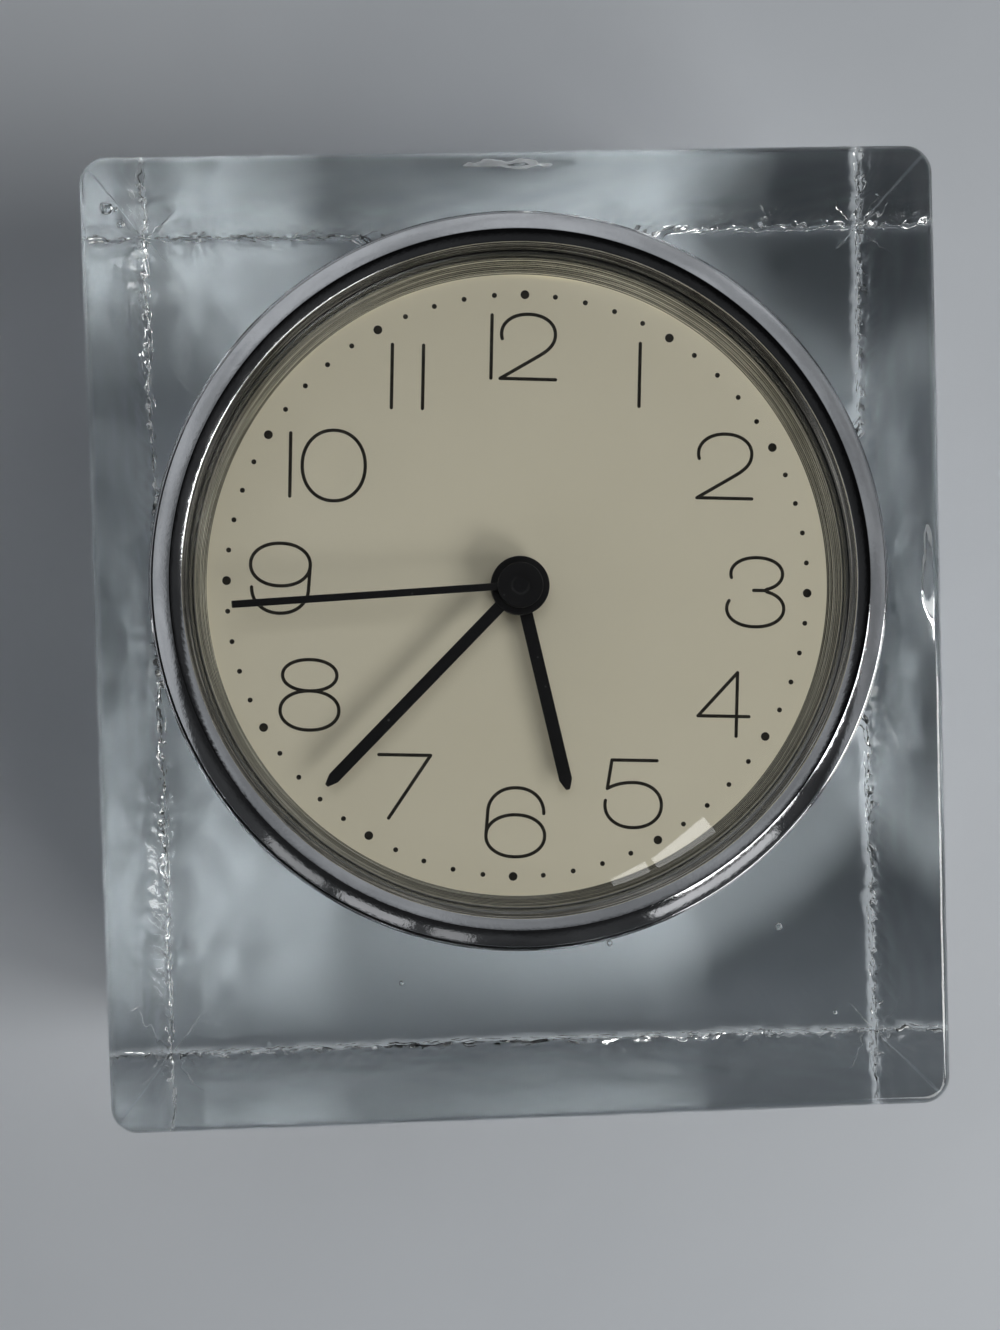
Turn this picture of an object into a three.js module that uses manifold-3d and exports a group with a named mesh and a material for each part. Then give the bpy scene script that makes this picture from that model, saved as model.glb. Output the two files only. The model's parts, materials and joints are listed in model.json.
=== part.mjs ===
// A table clock: a thick clear glass block with a round bore that holds a battery clock insert.
// Lengths are in millimetres. X is right as seen from the front, Y runs from front to back, Z is up.
// The origin is the middle of the block's flat base.

import * as THREE from 'three';
import { mergeVertices } from 'three/addons/utils/BufferGeometryUtils.js';
import Module from 'manifold-3d';

const wasm = await Module();
wasm.setup();

// Running and assembly clearances
const clearance = 0.3;
const boreSlip = 0.5;

// How far a cutting tool runs past the face that it cuts, and how far joined solids sink together
const overrun = 1;
const embed = 0.2;

// Glass block
const blockWidth = 120;
const blockHeight = 137;
const blockDepth = 45;
const blockCornerRadius = 4;
const blockEdgeRadius = 2.5;
const boreRadius = 49.5;
const boreTopWall = 11.3;
const boreChamfer = 0.8;
const insertTurn = THREE.MathUtils.degToRad(2.7);

// Bezel and crystal
const bezelOverlap = 2;
const bezelRise = 4.4;
const bezelLipWidth = 1.2;
const bezelLipHeight = 1.3;
const bezelLipRound = 0.3;
const bezelConeFoot = 1.5;
const bezelConeWidth = 2.6;
const bezelInnerWidth = 1.1;
const bezelInnerDrop = 0.9;
const sightStep = 0.9;
const skirtWall = 0.6;
const skirtLength = 14;
const crystalPocketWall = 1.2;
const sightLip = 0.6;
const sightLipBack = -0.4;
const crystalThickness = 2;
const crystalRise = 3;

// Reflector ring and dial
const reflectorDepth = 5.5;
const reflectorWall = 1.9;
const reflectorSteps = 3;
const reflectorStep = 0.2;
const reflectorGroove = 0.2;
const reflectorChamfer = 0.3;
const dialThickness = 0.8;
const dialHoleRadius = 3;

// Hands, with the angles that they show at rest, clockwise from twelve on the dial
const handThickness = 0.4;
const hubThickness = 1;
const handPitch = 1.4;
const hourHandRise = 2.2;
const hourHand = { length: 30.5, width: 1.9, hubRadius: 4.25, angle: 165.4, tip: 1.5 };
const minuteHand = { length: 40, width: 1.75, hubRadius: 4.25, angle: 222.9, tip: 1.5 };
const secondsHand = { length: 41, width: 1.05, hubRadius: 3.25, angle: 264.9, tip: 0 };

// Drum that carries the dial in front and the movement behind it
const drumWall = 1.2;
const drumPlate = 1.2;
const drumPlateHoleRadius = 12;
const drumBackDepth = 39;
const postRadius = 2.6;
const postInset = 4.9;
const postAngles = [30, 150, 270];
const pilotDepth = 10;

// Rubber grip ring between the drum and the bore
const gripStart = 16;
const gripLength = 10;
const gripRibs = 3;
const gripGroove = 0.3;

// Screws
const screwShankRadius = 1;
const screwHeadRadius = 2.3;
const screwHeadHeight = 1.2;
const screwHeadEdge = 0.5;
const screwSlotWidth = 0.6;
const screwSlotLength = 2.8;
const screwSlotDepth = 0.7;
const coverScrewLength = 8;
const caseScrewLength = 6;

// Back cover and battery lid
const coverThickness = 1.8;
const lidThickness = 1.5;
const lidPinRadius = 0.35;
const lidPinLength = 1.2;
const lidRidgeHeight = 0.3;
const lidRidgeLength = 14;
const lidRidgeCount = 3;
const lidRidgePitch = 1.6;
const lidRidgeWidth = 0.8;
const lidRidgeInset = 2.4;
const nailNotchRadius = 5;
const nailNotchDepth = 0.9;

// Battery, tray and contacts
const batteryRadius = 7.1;
const batteryLength = 50.5;
const batteryNubRadius = 2.6;
const batteryNubLength = 1;
const batteryEdge = 0.5;
const trayWall = 1;
const contactThickness = 0.4;
const leafDepth = 2.4;
const leafHalfHeight = 6.2;

// Movement case
const caseHalfWidth = 25;
const caseTop = 33;
const caseBottom = -13.2;
const caseWall = 1.2;
const casePlate = 1;
const bridgeThickness = 1;
const bridgeTop = 23;
const caseCornerRadius = 1.5;
const casePostRadius = 2.2;
const casePostInset = 3.2;
const caseEarReach = 5;
const caseEarHeight = 7;
const caseEarThickness = 1.5;
const caseEarLevel = 5;

// Gear train
const wheelThickness = 0.9;
const layerGap = 0.8;
const arborRadius = 0.5;
const pipeWall = 0.5;
const stepAngle = 90;
const secondsTrainAngle = 75;
const thirdTrainAngle = 180;
const motionTrainAngle = 20;
const rotorPinionTeeth = 6;
const intermediateTeeth = 36;
const intermediatePinionTeeth = 8;
const secondsTeeth = 40;
const secondsPinionTeeth = 6;
const thirdTeeth = 48;
const thirdPinionTeeth = 6;
const centreTeeth = 45;
const cannonTeeth = 10;
const motionTeeth = 30;
const motionPinionTeeth = 8;
const hourTeeth = 32;
const rotorModule = 0.4;
const secondsModule = 0.45;
const thirdModule = 0.4;
const motionModule = 0.66;
const toothAddendum = 0.8;
const toothDedendum = 1.2;
const toothTipShare = 0.2;
const toothRootShare = 0.5;
const magnetRadius = 3;
const magnetThickness = 2.2;
const magnetGap = 0.4;
const clutchRadius = 3.2;
const clutchThickness = 0.3;

// Setting knob
const settingShaftRadius = 1;
const settingShaftReach = 2.2;
const knobRadius = 4.5;
const knobHeight = 4.4;
const knobRibs = 18;
const knobRibDepth = 0.4;
const knobRibFoot = 0.7;
const knobRibTop = 0.3;

// Motor coil, stator and electronics
const statorThickness = 1.6;
const statorPostGap = 1.5;
const statorLegWidth = 3.6;
const coreLap = 2.4;
const statorBottom = 13.2;
const statorWaist = 22.5;
const coilHeight = 27.5;
const coreWidth = 2.4;
const coreThickness = 1.5;
const bobbinRadius = 3.2;
const bobbinTubeRadius = 2.1;
const bobbinFlange = 0.8;
const windingRadius = 3;
const boardWidth = 11;
const boardHeight = 17;
const boardThickness = 1;
const crystalCanRadius = 1;
const crystalCanLength = 6;
const crystalCanInset = 3;
const chipRadius = 2.4;
const chipHeight = 0.9;
const chipInset = 10;

// Facets round a full turn
const ringFacets = 48;
const smallFacets = 16;
const pivotFacets = 8;
const domeSteps = 4;

// Radii that follow from the bore, from the outside in
const skirtOuterRadius = boreRadius - boreSlip;
const skirtInnerRadius = skirtOuterRadius - skirtWall;
const crystalPocketRadius = skirtInnerRadius - crystalPocketWall;
const crystalRadius = crystalPocketRadius - clearance;
const sightRadius = crystalRadius - sightLip;
const drumOuterRadius = skirtInnerRadius - clearance;
const drumInnerRadius = drumOuterRadius - drumWall;
const postCircleRadius = drumInnerRadius - postInset;
const boreHeight = blockHeight - boreTopWall - boreRadius;

// Depths behind the block's front face, from front to back
const crystalRimFront = sightLipBack + clearance;
const crystalRimBack = crystalRimFront + crystalThickness;
const reflectorFront = crystalRimBack + clearance;
const reflectorBack = reflectorFront + reflectorDepth;
const dialFace = reflectorBack + clearance;
const drumFront = dialFace + dialThickness + clearance;
const drumPlateBack = drumFront + drumPlate;
const hourHandDepth = dialFace - hourHandRise;
const minuteHandDepth = hourHandDepth - handPitch;
const secondsHandDepth = minuteHandDepth - handPitch;
const caseFront = drumPlateBack + clearance;
const caseInnerFront = caseFront + casePlate;
const hourLevel = caseInnerFront + layerGap;
const cannonLevel = hourLevel + wheelThickness + layerGap;
const bridgeLevel = cannonLevel + wheelThickness + layerGap;
const centreLevel = bridgeLevel + bridgeThickness + layerGap;
const thirdLevel = centreLevel + wheelThickness + layerGap;
const secondsLevel = thirdLevel + wheelThickness + layerGap;
const intermediateLevel = secondsLevel + wheelThickness + layerGap;
const caseBackLevel = intermediateLevel + wheelThickness + layerGap;
const coverFront = drumBackDepth - coverThickness;
const lidFront = drumBackDepth - lidThickness;

// Arbor positions, seen from the front with the dial's centre at zero
const centreAxis = new THREE.Vector2(0, 0);
const intermediateAxis = axisFrom(centreAxis, secondsTrainAngle,
  secondsModule * (intermediatePinionTeeth + secondsTeeth) / 2);
const rotorAxis = axisFrom(intermediateAxis, stepAngle,
  rotorModule * (rotorPinionTeeth + intermediateTeeth) / 2);
const thirdAxis = axisFrom(centreAxis, thirdTrainAngle,
  thirdModule * (secondsPinionTeeth + thirdTeeth) / 2);
const motionAxis = axisFrom(centreAxis, motionTrainAngle, motionModule * (cannonTeeth + motionTeeth) / 2);
const statorHalfWidth = caseHalfWidth - casePostInset - casePostRadius - statorPostGap - rotorAxis.x;
const centreModule = 2 * thirdAxis.length() / (thirdPinionTeeth + centreTeeth);
const hourModule = 2 * motionAxis.length() / (motionPinionTeeth + hourTeeth);

// Pipe radii on the centre axis, from the seconds arbor outwards
const minutePipeInner = arborRadius + clearance;
const minutePipeOuter = minutePipeInner + pipeWall;
const hourPipeInner = minutePipeOuter + clearance;
const hourPipeOuter = hourPipeInner + pipeWall;

// Battery tray, under the movement case
const trayTop = caseBottom - clearance;
const batteryAxisHeight = trayTop - trayWall - clearance - batteryRadius;
const batteryAxisDepth = coverFront - 2 * clearance - batteryRadius;
const trayBottom = batteryAxisHeight - batteryRadius - clearance - trayWall;
const trayFront = batteryAxisDepth - batteryRadius - clearance - trayWall;
const trayInnerHalf = (batteryLength + contactThickness + leafDepth + 4 * clearance) / 2;
const batteryPlusEnd = trayInnerHalf - contactThickness - 2 * clearance;
const batteryMinusEnd = batteryPlusEnd - batteryLength;
const lidBottom = trayBottom + clearance;
const lidTop = trayTop - clearance;
const lidHalfWidth = trayInnerHalf - clearance;
const lidAxisHeight = lidBottom + lidThickness / 2;
const lidAxisDepth = lidFront + lidThickness / 2;

// Materials
const finish = {
  glass: plain(0xb9c4c4, 0.05, 0, 0.35),
  chrome: plain(0xc9ccd0, 0.12, 1),
  crystal: plain(0xe6ecec, 0.03, 0, 0.2),
  reflector: plain(0x8d8f90, 0.25, 1),
  cream: plain(0xd8d2bd, 0.7, 0),
  black: plain(0x111112, 0.45, 0),
  darkPlastic: plain(0x1c1c1e, 0.55, 0),
  greyPlastic: plain(0x55575a, 0.5, 0),
  naturalPlastic: plain(0xe4e0d4, 0.45, 0),
  rubber: plain(0x19191a, 0.85, 0),
  steel: plain(0xa9abad, 0.3, 1),
  brass: plain(0xc9a24d, 0.3, 1),
  copper: plain(0xa8562b, 0.35, 1),
  board: plain(0x9a7a3c, 0.6, 0),
  cell: plain(0x7d8286, 0.35, 0.6),
};

function plain(color, roughness, metalness, opacity = 1) {
  return new THREE.MeshStandardMaterial({
    color, roughness, metalness, opacity, transparent: opacity < 1,
  });
}

function axisFrom(start, degrees, distance) {
  const angle = THREE.MathUtils.degToRad(degrees);
  return new THREE.Vector2(
    start.x + distance * Math.cos(angle),
    start.y + distance * Math.sin(angle),
  );
}

// Solids. Inside the insert, x is right, y is up and z points at the viewer, so depth is minus z.

// A flat outline carried straight back from one depth to another.
function plate(shape, front, thickness, curveSegments = smallFacets / 2) {
  const geometry = new THREE.ExtrudeGeometry(shape, {
    depth: thickness, bevelEnabled: false, curveSegments,
  });
  return geometry.translate(0, 0, -front - thickness);
}

// A ring or disc turned about the dial's axis from [radius, depth] corners.
function turned(corners, facets = ringFacets) {
  const points = corners.map(([radius, depth]) => new THREE.Vector2(radius, -depth));
  if (points[0].x > 0) points.push(points[0].clone());
  if (THREE.ShapeUtils.area(points) < 0) points.reverse();
  return new THREE.LatheGeometry(points, facets).rotateX(Math.PI / 2);
}

function rod(radius, front, back, facets = smallFacets) {
  return turned([[0, front], [radius, front], [radius, back], [0, back]], facets);
}

function pipe(outer, inner, front, back, facets = smallFacets) {
  return turned([[inner, front], [outer, front], [outer, back], [inner, back]], facets);
}

function at(geometry, axis) {
  return geometry.clone().translate(axis.x, axis.y, 0);
}

// A box between two corners, given as x, y and depth.
function block(left, bottom, front, right, top, back) {
  const geometry = new THREE.BoxGeometry(right - left, top - bottom, back - front);
  return geometry.translate((left + right) / 2, (bottom + top) / 2, -(front + back) / 2);
}

function circle(radius, x = 0, y = 0) {
  const shape = new THREE.Shape();
  shape.absarc(x, y, radius, 0, 2 * Math.PI, false);
  return shape;
}

function rectangle(left, bottom, right, top, radius = 0) {
  const shape = new THREE.Shape();
  if (radius <= 0) {
    shape.moveTo(left, bottom);
    shape.lineTo(right, bottom);
    shape.lineTo(right, top);
    shape.lineTo(left, top);
    return shape;
  }
  shape.absarc(right - radius, bottom + radius, radius, -Math.PI / 2, 0, false);
  shape.absarc(right - radius, top - radius, radius, 0, Math.PI / 2, false);
  shape.absarc(left + radius, top - radius, radius, Math.PI / 2, Math.PI, false);
  shape.absarc(left + radius, bottom + radius, radius, Math.PI, 1.5 * Math.PI, false);
  return shape;
}

// Joins and cuts
function solid(geometry) {
  const bare = geometry.clone();
  bare.deleteAttribute('normal');
  bare.deleteAttribute('uv');
  const merged = mergeVertices(bare, 1e-4);
  return new wasm.Manifold(new wasm.Mesh({
    numProp: 3,
    vertProperties: new Float32Array(merged.attributes.position.array),
    triVerts: new Uint32Array(merged.index.array),
  }));
}

function geometryOf(body) {
  const mesh = body.getMesh();
  const geometry = new THREE.BufferGeometry();
  geometry.setAttribute('position', new THREE.BufferAttribute(mesh.vertProperties, 3));
  geometry.setIndex(new THREE.BufferAttribute(mesh.triVerts, 1));
  const faceted = geometry.toNonIndexed();
  faceted.computeVertexNormals();
  return faceted;
}

function join(...geometries) {
  return geometryOf(geometries.map(solid).reduce((whole, piece) => whole.add(piece)));
}

function cut(geometry, ...tools) {
  return geometryOf(tools.map(solid).reduce((whole, tool) => whole.subtract(tool), solid(geometry)));
}

function mesh(name, geometry, material) {
  const made = new THREE.Mesh(geometry, material);
  made.name = name;
  return made;
}

// Glass block, standing on its flat base
function glassBlock() {
  const inset = blockEdgeRadius;
  const outline = rectangle(
    -blockWidth / 2 + inset, -blockHeight / 2 + inset,
    blockWidth / 2 - inset, blockHeight / 2 - inset,
    blockCornerRadius - inset,
  );
  const geometry = new THREE.ExtrudeGeometry(outline, {
    depth: blockDepth - 2 * inset,
    bevelThickness: inset,
    bevelSize: inset,
    bevelSegments: 3,
    curveSegments: 3,
  });
  geometry.translate(0, 0, inset - blockDepth);
  const boreCentre = new THREE.Vector2(0, boreHeight - blockHeight / 2);
  const mouth = boreRadius + boreChamfer;
  const bore = turned([
    [0, -overrun], [mouth + overrun, -overrun], [boreRadius, boreChamfer],
    [boreRadius, blockDepth - boreChamfer],
    [mouth + overrun, blockDepth + overrun], [0, blockDepth + overrun],
  ]);
  const made = mesh('glass_block', cut(geometry, at(bore, boreCentre)), finish.glass);
  made.position.set(0, -blockDepth / 2, blockHeight / 2);
  made.rotation.x = Math.PI / 2;
  return made;
}

// Bezel: a lip on the glass, two cones that meet at a crest, a ring over the crystal and a skirt
function bezel() {
  const rim = boreRadius + bezelOverlap;
  const coneFoot = rim - bezelLipWidth;
  const crest = coneFoot - bezelConeWidth;
  const lipFront = -clearance - bezelLipHeight;
  const innerFoot = -bezelRise + bezelInnerDrop;
  return turned([
    [skirtOuterRadius, skirtLength],
    [skirtOuterRadius, -clearance],
    [rim - bezelLipRound, -clearance],
    [rim, -clearance - bezelLipRound],
    [rim, lipFront + bezelLipRound],
    [rim - bezelLipRound, lipFront],
    [coneFoot, lipFront],
    [coneFoot, lipFront - bezelConeFoot],
    [crest, -bezelRise],
    [crest - bezelInnerWidth, innerFoot],
    [sightRadius, innerFoot + sightStep],
    [sightRadius, sightLipBack],
    [crystalPocketRadius, sightLipBack],
    [crystalPocketRadius, crystalRimBack],
    [skirtInnerRadius, crystalRimBack],
    [skirtInnerRadius, skirtLength],
  ]);
}

// Domed crystal: two parallel arcs between the rim and the middle
function crystal() {
  const sphereRadius = (crystalRadius ** 2 + crystalRise ** 2) / (2 * crystalRise);
  const front = [];
  for (let step = 0; step <= domeSteps; step += 1) {
    const radius = crystalRadius * step / domeSteps;
    const fall = sphereRadius - Math.sqrt(sphereRadius ** 2 - radius ** 2);
    front.push([radius, crystalRimFront - crystalRise + fall]);
  }
  const back = front.map(([radius, depth]) => [radius, depth + crystalThickness]).reverse();
  return turned([...front, ...back]);
}

// Reflector ring: a wall that steps in towards the dial
function reflectorRing() {
  const outer = drumOuterRadius;
  const bore = outer - reflectorWall;
  const corners = [[outer, reflectorFront + reflectorChamfer], [outer - reflectorChamfer, reflectorFront]];
  const stepDepth = reflectorDepth / reflectorSteps;
  for (let step = 0; step < reflectorSteps; step += 1) {
    const radius = bore - step * reflectorStep;
    corners.push([radius, reflectorFront + step * stepDepth]);
    corners.push([radius, reflectorFront + (step + 1) * stepDepth - reflectorGroove]);
  }
  corners.push([bore - reflectorSteps * reflectorStep, reflectorBack], [outer, reflectorBack]);
  return turned(corners);
}

function dial() {
  return pipe(drumOuterRadius, dialHoleRadius, dialFace, dialFace + dialThickness, ringFacets);
}

// A hand's blade, pointing up: square-ended, or tapered over its last stretch to a third of its width
function bladeOutline(length, width, tip) {
  const half = width / 2;
  if (tip <= 0) return rectangle(-half, 0, half, length);
  const right = [[half, 0], [half, length - tip], [half / 3, length]];
  const left = right.map(([x, y]) => [-x, y]).reverse();
  return new THREE.Shape([...right, ...left].map(([x, y]) => new THREE.Vector2(x, y)));
}

// A hand points up, with its hub on the dial's axis, then turns clockwise to its angle.
function hand({ length, width, hubRadius, angle, tip }, depth, boreSize) {
  const blade = plate(bladeOutline(length, width, tip), depth, handThickness);
  const hubFront = depth - (hubThickness - handThickness) / 2;
  const hub = rod(hubRadius, hubFront, hubFront + hubThickness, 2 * smallFacets);
  const whole = join(blade, hub);
  const drilled = boreSize > 0
    ? cut(whole, rod(boreSize, hubFront - overrun, hubFront + hubThickness + overrun))
    : whole;
  return drilled.rotateZ(-THREE.MathUtils.degToRad(angle));
}

// Drum: an open-backed cup with a plate behind the dial and three posts for the cover screws
function drum() {
  const cup = turned([
    [drumPlateHoleRadius, drumFront],
    [drumOuterRadius, drumFront],
    [drumOuterRadius, drumBackDepth],
    [drumInnerRadius, drumBackDepth],
    [drumInnerRadius, drumPlateBack],
    [drumPlateHoleRadius, drumPlateBack],
  ]);
  const postEnd = coverFront - clearance;
  const pilotRadius = screwShankRadius + clearance;
  const posts = coverPosts().map((axis) => at(rod(postRadius, drumPlateBack - embed, postEnd), axis));
  const pilot = rod(pilotRadius, postEnd - pilotDepth, postEnd + overrun);
  const pilots = coverPosts().map((axis) => at(pilot, axis));
  const earPilot = rod(pilotRadius, drumFront - overrun, drumPlateBack + overrun);
  const earPilots = earAxes().map((axis) => at(earPilot, axis));
  return cut(join(cup, ...posts), ...pilots, ...earPilots);
}

function coverPosts() {
  return postAngles.map((degrees) => axisFrom(centreAxis, degrees, postCircleRadius));
}

function earAxes() {
  const reach = caseHalfWidth + caseEarReach / 2;
  return [-1, 1].map((side) => new THREE.Vector2(side * reach, caseEarLevel));
}

// Rubber ring with shallow grooves round its outside
function gripRing() {
  const outer = boreRadius - clearance;
  const inner = drumOuterRadius + clearance;
  const pitch = gripLength / gripRibs;
  const corners = [[inner, gripStart + gripLength], [inner, gripStart]];
  for (let rib = 0; rib < gripRibs; rib += 1) {
    corners.push([outer - gripGroove, gripStart + rib * pitch]);
    corners.push([outer, gripStart + (rib + 0.5) * pitch]);
  }
  corners.push([outer - gripGroove, gripStart + gripLength]);
  return turned(corners);
}

// A pan-head screw, driven in from behind, with its head's seat at the given depth
function screw(seat, length, axis) {
  const shank = rod(screwShankRadius, seat - length, seat + embed, pivotFacets);
  const headBack = seat + screwHeadHeight;
  const head = turned([
    [0, seat], [screwHeadRadius, seat], [screwHeadRadius, headBack - screwHeadEdge],
    [screwHeadRadius - screwHeadEdge, headBack], [0, headBack],
  ], smallFacets);
  const slotFront = headBack - screwSlotDepth;
  const long = screwSlotLength / 2;
  const wide = screwSlotWidth / 2;
  const slots = [
    block(-long, -wide, slotFront, long, wide, headBack + overrun),
    block(-wide, -long, slotFront, wide, long, headBack + overrun),
  ];
  return at(cut(join(head, shank), ...slots), axis);
}

// Back cover: a disc with the battery opening, the pin slots and holes for the screws and setting shaft
function backCover() {
  const disc = rod(drumInnerRadius - clearance, coverFront, drumBackDepth, ringFacets);
  const ahead = coverFront - overrun;
  const behind = drumBackDepth + overrun;
  const opening = block(
    -lidHalfWidth - clearance, lidBottom - clearance, ahead,
    lidHalfWidth + clearance, lidTop + clearance, behind,
  );
  const slotHalf = lidPinRadius + clearance;
  const slotReach = lidHalfWidth + lidPinLength + clearance;
  const pinSlot = block(
    -slotReach, lidAxisHeight - slotHalf, ahead,
    slotReach, lidAxisHeight + slotHalf, lidAxisDepth + slotHalf,
  );
  const notchAxis = new THREE.Vector2(0, lidTop + clearance);
  const notch = at(rod(nailNotchRadius, drumBackDepth - nailNotchDepth, behind), notchAxis);
  const screwHole = rod(screwShankRadius + clearance, ahead, behind);
  const holes = coverPosts().map((axis) => at(screwHole, axis));
  const shaftHole = at(rod(settingShaftRadius + clearance, ahead, behind), motionAxis);
  return cut(disc, opening, pinSlot, notch, shaftHole, ...holes);
}

// Battery lid: a plate with a round lower edge, two stub pins and three grip ridges
function batteryLid() {
  const sheet = block(-lidHalfWidth, lidAxisHeight, lidFront, lidHalfWidth, lidTop, drumBackDepth);
  const edge = alongX(rod(lidThickness / 2, -lidHalfWidth, lidHalfWidth), lidAxisHeight, lidAxisDepth);
  const pinReach = lidHalfWidth + lidPinLength;
  const pins = alongX(rod(lidPinRadius, -pinReach, pinReach, pivotFacets), lidAxisHeight, lidAxisDepth);
  const ridges = [];
  for (let ridge = 0; ridge < lidRidgeCount; ridge += 1) {
    const level = lidTop - lidRidgeInset - ridge * lidRidgePitch;
    ridges.push(block(
      -lidRidgeLength / 2, level, drumBackDepth - embed,
      lidRidgeLength / 2, level + lidRidgeWidth, drumBackDepth + lidRidgeHeight,
    ));
  }
  return join(sheet, edge, pins, ...ridges);
}

// Turns a piece made about the dial's axis so that it lies along x at a height and depth.
function alongX(geometry, height, depth) {
  return geometry.clone().rotateY(-Math.PI / 2).translate(0, height, -depth);
}

// Battery tray: a box open at the back
function batteryTray() {
  const outerHalf = trayInnerHalf + trayWall;
  const trayBack = coverFront - clearance;
  const box = block(-outerHalf, trayBottom, trayFront, outerHalf, trayTop, trayBack);
  const hollow = block(
    -trayInnerHalf, trayBottom + trayWall, trayFront + trayWall,
    trayInnerHalf, trayTop - trayWall, trayBack + overrun,
  );
  return cut(box, hollow);
}

// Dry cell with its raised contact at the plus end
function battery() {
  const shoulder = batteryPlusEnd - batteryNubLength;
  const cell = turned([
    [0, -batteryMinusEnd], [batteryRadius - batteryEdge, -batteryMinusEnd],
    [batteryRadius, -batteryMinusEnd - batteryEdge], [batteryRadius, -shoulder + batteryEdge],
    [batteryRadius - batteryEdge, -shoulder], [batteryNubRadius, -shoulder],
    [batteryNubRadius, -batteryPlusEnd], [0, -batteryPlusEnd],
  ], ringFacets / 2);
  return cell.rotateY(Math.PI / 2).translate(0, batteryAxisHeight, -batteryAxisDepth);
}

function plusContact() {
  const face = trayInnerHalf - clearance - contactThickness;
  const half = leafHalfHeight;
  return block(
    face, batteryAxisHeight - half, batteryAxisDepth - half,
    face + contactThickness, batteryAxisHeight + half, batteryAxisDepth + half,
  );
}

// Minus contact: a leaf bent to a blunt point against the battery's end
function minusContact() {
  const wall = -trayInnerHalf + clearance;
  const point = wall + leafDepth;
  const rise = contactThickness * Math.hypot(1, leafHalfHeight / leafDepth);
  const pointInside = point - contactThickness * Math.hypot(1, leafDepth / leafHalfHeight);
  const leaf = new THREE.Shape();
  leaf.moveTo(wall, batteryAxisHeight - leafHalfHeight);
  leaf.lineTo(point, batteryAxisHeight);
  leaf.lineTo(wall, batteryAxisHeight + leafHalfHeight);
  leaf.lineTo(wall, batteryAxisHeight + leafHalfHeight - rise);
  leaf.lineTo(pointInside, batteryAxisHeight);
  leaf.lineTo(wall, batteryAxisHeight - leafHalfHeight + rise);
  return plate(leaf, batteryAxisDepth - leafHalfHeight / 2, leafHalfHeight);
}

// Movement case front: a tray with walls, screw posts and two ears that screw to the drum
function caseFrontShell() {
  const back = caseBackLevel - clearance;
  const ahead = caseFront - overrun;
  const shell = block(-caseHalfWidth, caseBottom, caseFront, caseHalfWidth, caseTop, back);
  const hollow = block(
    -caseHalfWidth + caseWall, caseBottom + caseWall, caseInnerFront,
    caseHalfWidth - caseWall, caseTop - caseWall, back + overrun,
  );
  const pilotRadius = screwShankRadius + clearance;
  const reach = caseHalfWidth + caseEarReach;
  const earBack = caseFront + caseEarThickness;
  const ears = block(
    -reach, caseEarLevel - caseEarHeight / 2, caseFront,
    reach, caseEarLevel + caseEarHeight / 2, earBack,
  );
  const post = rod(casePostRadius, caseInnerFront - embed, back);
  const posts = casePostAxes().map((axis) => at(post, axis));
  const pilot = rod(pilotRadius, back - pilotDepth, back + overrun);
  const pilots = casePostAxes().map((axis) => at(pilot, axis));
  const earHole = rod(pilotRadius, ahead, earBack + overrun);
  const earHoles = earAxes().map((axis) => at(earHole, axis));
  const pipeHole = rod(hourPipeOuter + clearance, ahead, caseInnerFront + overrun);
  return cut(join(cut(join(shell, ears), hollow), ...posts), pipeHole, ...pilots, ...earHoles);
}

// Screw posts in the case's lower corners and its upper right one; the circuit board has the fourth
function casePostAxes() {
  const side = caseHalfWidth - casePostInset;
  const low = caseBottom + casePostInset;
  const high = caseTop - casePostInset;
  return [[side, low], [-side, low], [side, high]].map(([x, y]) => new THREE.Vector2(x, y));
}

// Movement case back: a plate with the hole for the setting shaft, bearings and screw holes
function caseBackPlate() {
  const outline = rectangle(-caseHalfWidth, caseBottom, caseHalfWidth, caseTop, caseCornerRadius);
  const sheet = plate(outline, caseBackLevel, casePlate, 3);
  const ahead = caseBackLevel - overrun;
  const behind = caseBackLevel + casePlate + overrun;
  const screwHole = rod(screwShankRadius + clearance, ahead, behind);
  const holes = casePostAxes().map((axis) => at(screwHole, axis));
  const shaftHole = at(rod(settingShaftRadius + clearance, ahead, behind), motionAxis);
  const bearing = rod(arborRadius + clearance, ahead, behind, pivotFacets);
  const bearings = [centreAxis, intermediateAxis, rotorAxis, thirdAxis].map((axis) => at(bearing, axis));
  return cut(sheet, shaftHole, ...holes, ...bearings);
}

// Bridge plate between the motion work and the train, notched round the two lower posts
function bridgePlate() {
  const side = caseHalfWidth - caseWall - clearance;
  const outline = rectangle(-side, caseBottom + caseWall + clearance, side, bridgeTop);
  const sheet = plate(outline, bridgeLevel, bridgeThickness);
  const front = bridgeLevel - overrun;
  const back = bridgeLevel + bridgeThickness + overrun;
  const bearing = rod(arborRadius + clearance, front, back, pivotFacets);
  const bearings = [intermediateAxis, rotorAxis, thirdAxis].map((axis) => at(bearing, axis));
  const centreHole = rod(minutePipeOuter + clearance, front, back);
  const shaftHole = at(rod(settingShaftRadius + clearance, front, back), motionAxis);
  const notches = casePostAxes()
    .filter((axis) => axis.y < bridgeTop)
    .map((axis) => cornerNotch(axis, front, back));
  return cut(sheet, centreHole, shaftHole, ...bearings, ...notches);
}

// The square that clears a lower post and runs out past the plate's corner
function cornerNotch(axis, front, back) {
  const inner = Math.abs(axis.x) - casePostRadius - clearance;
  const outer = caseHalfWidth;
  const top = axis.y + casePostRadius + clearance;
  return axis.x > 0
    ? block(inner, caseBottom, front, outer, top, back)
    : block(-outer, caseBottom, front, -inner, top, back);
}

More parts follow.
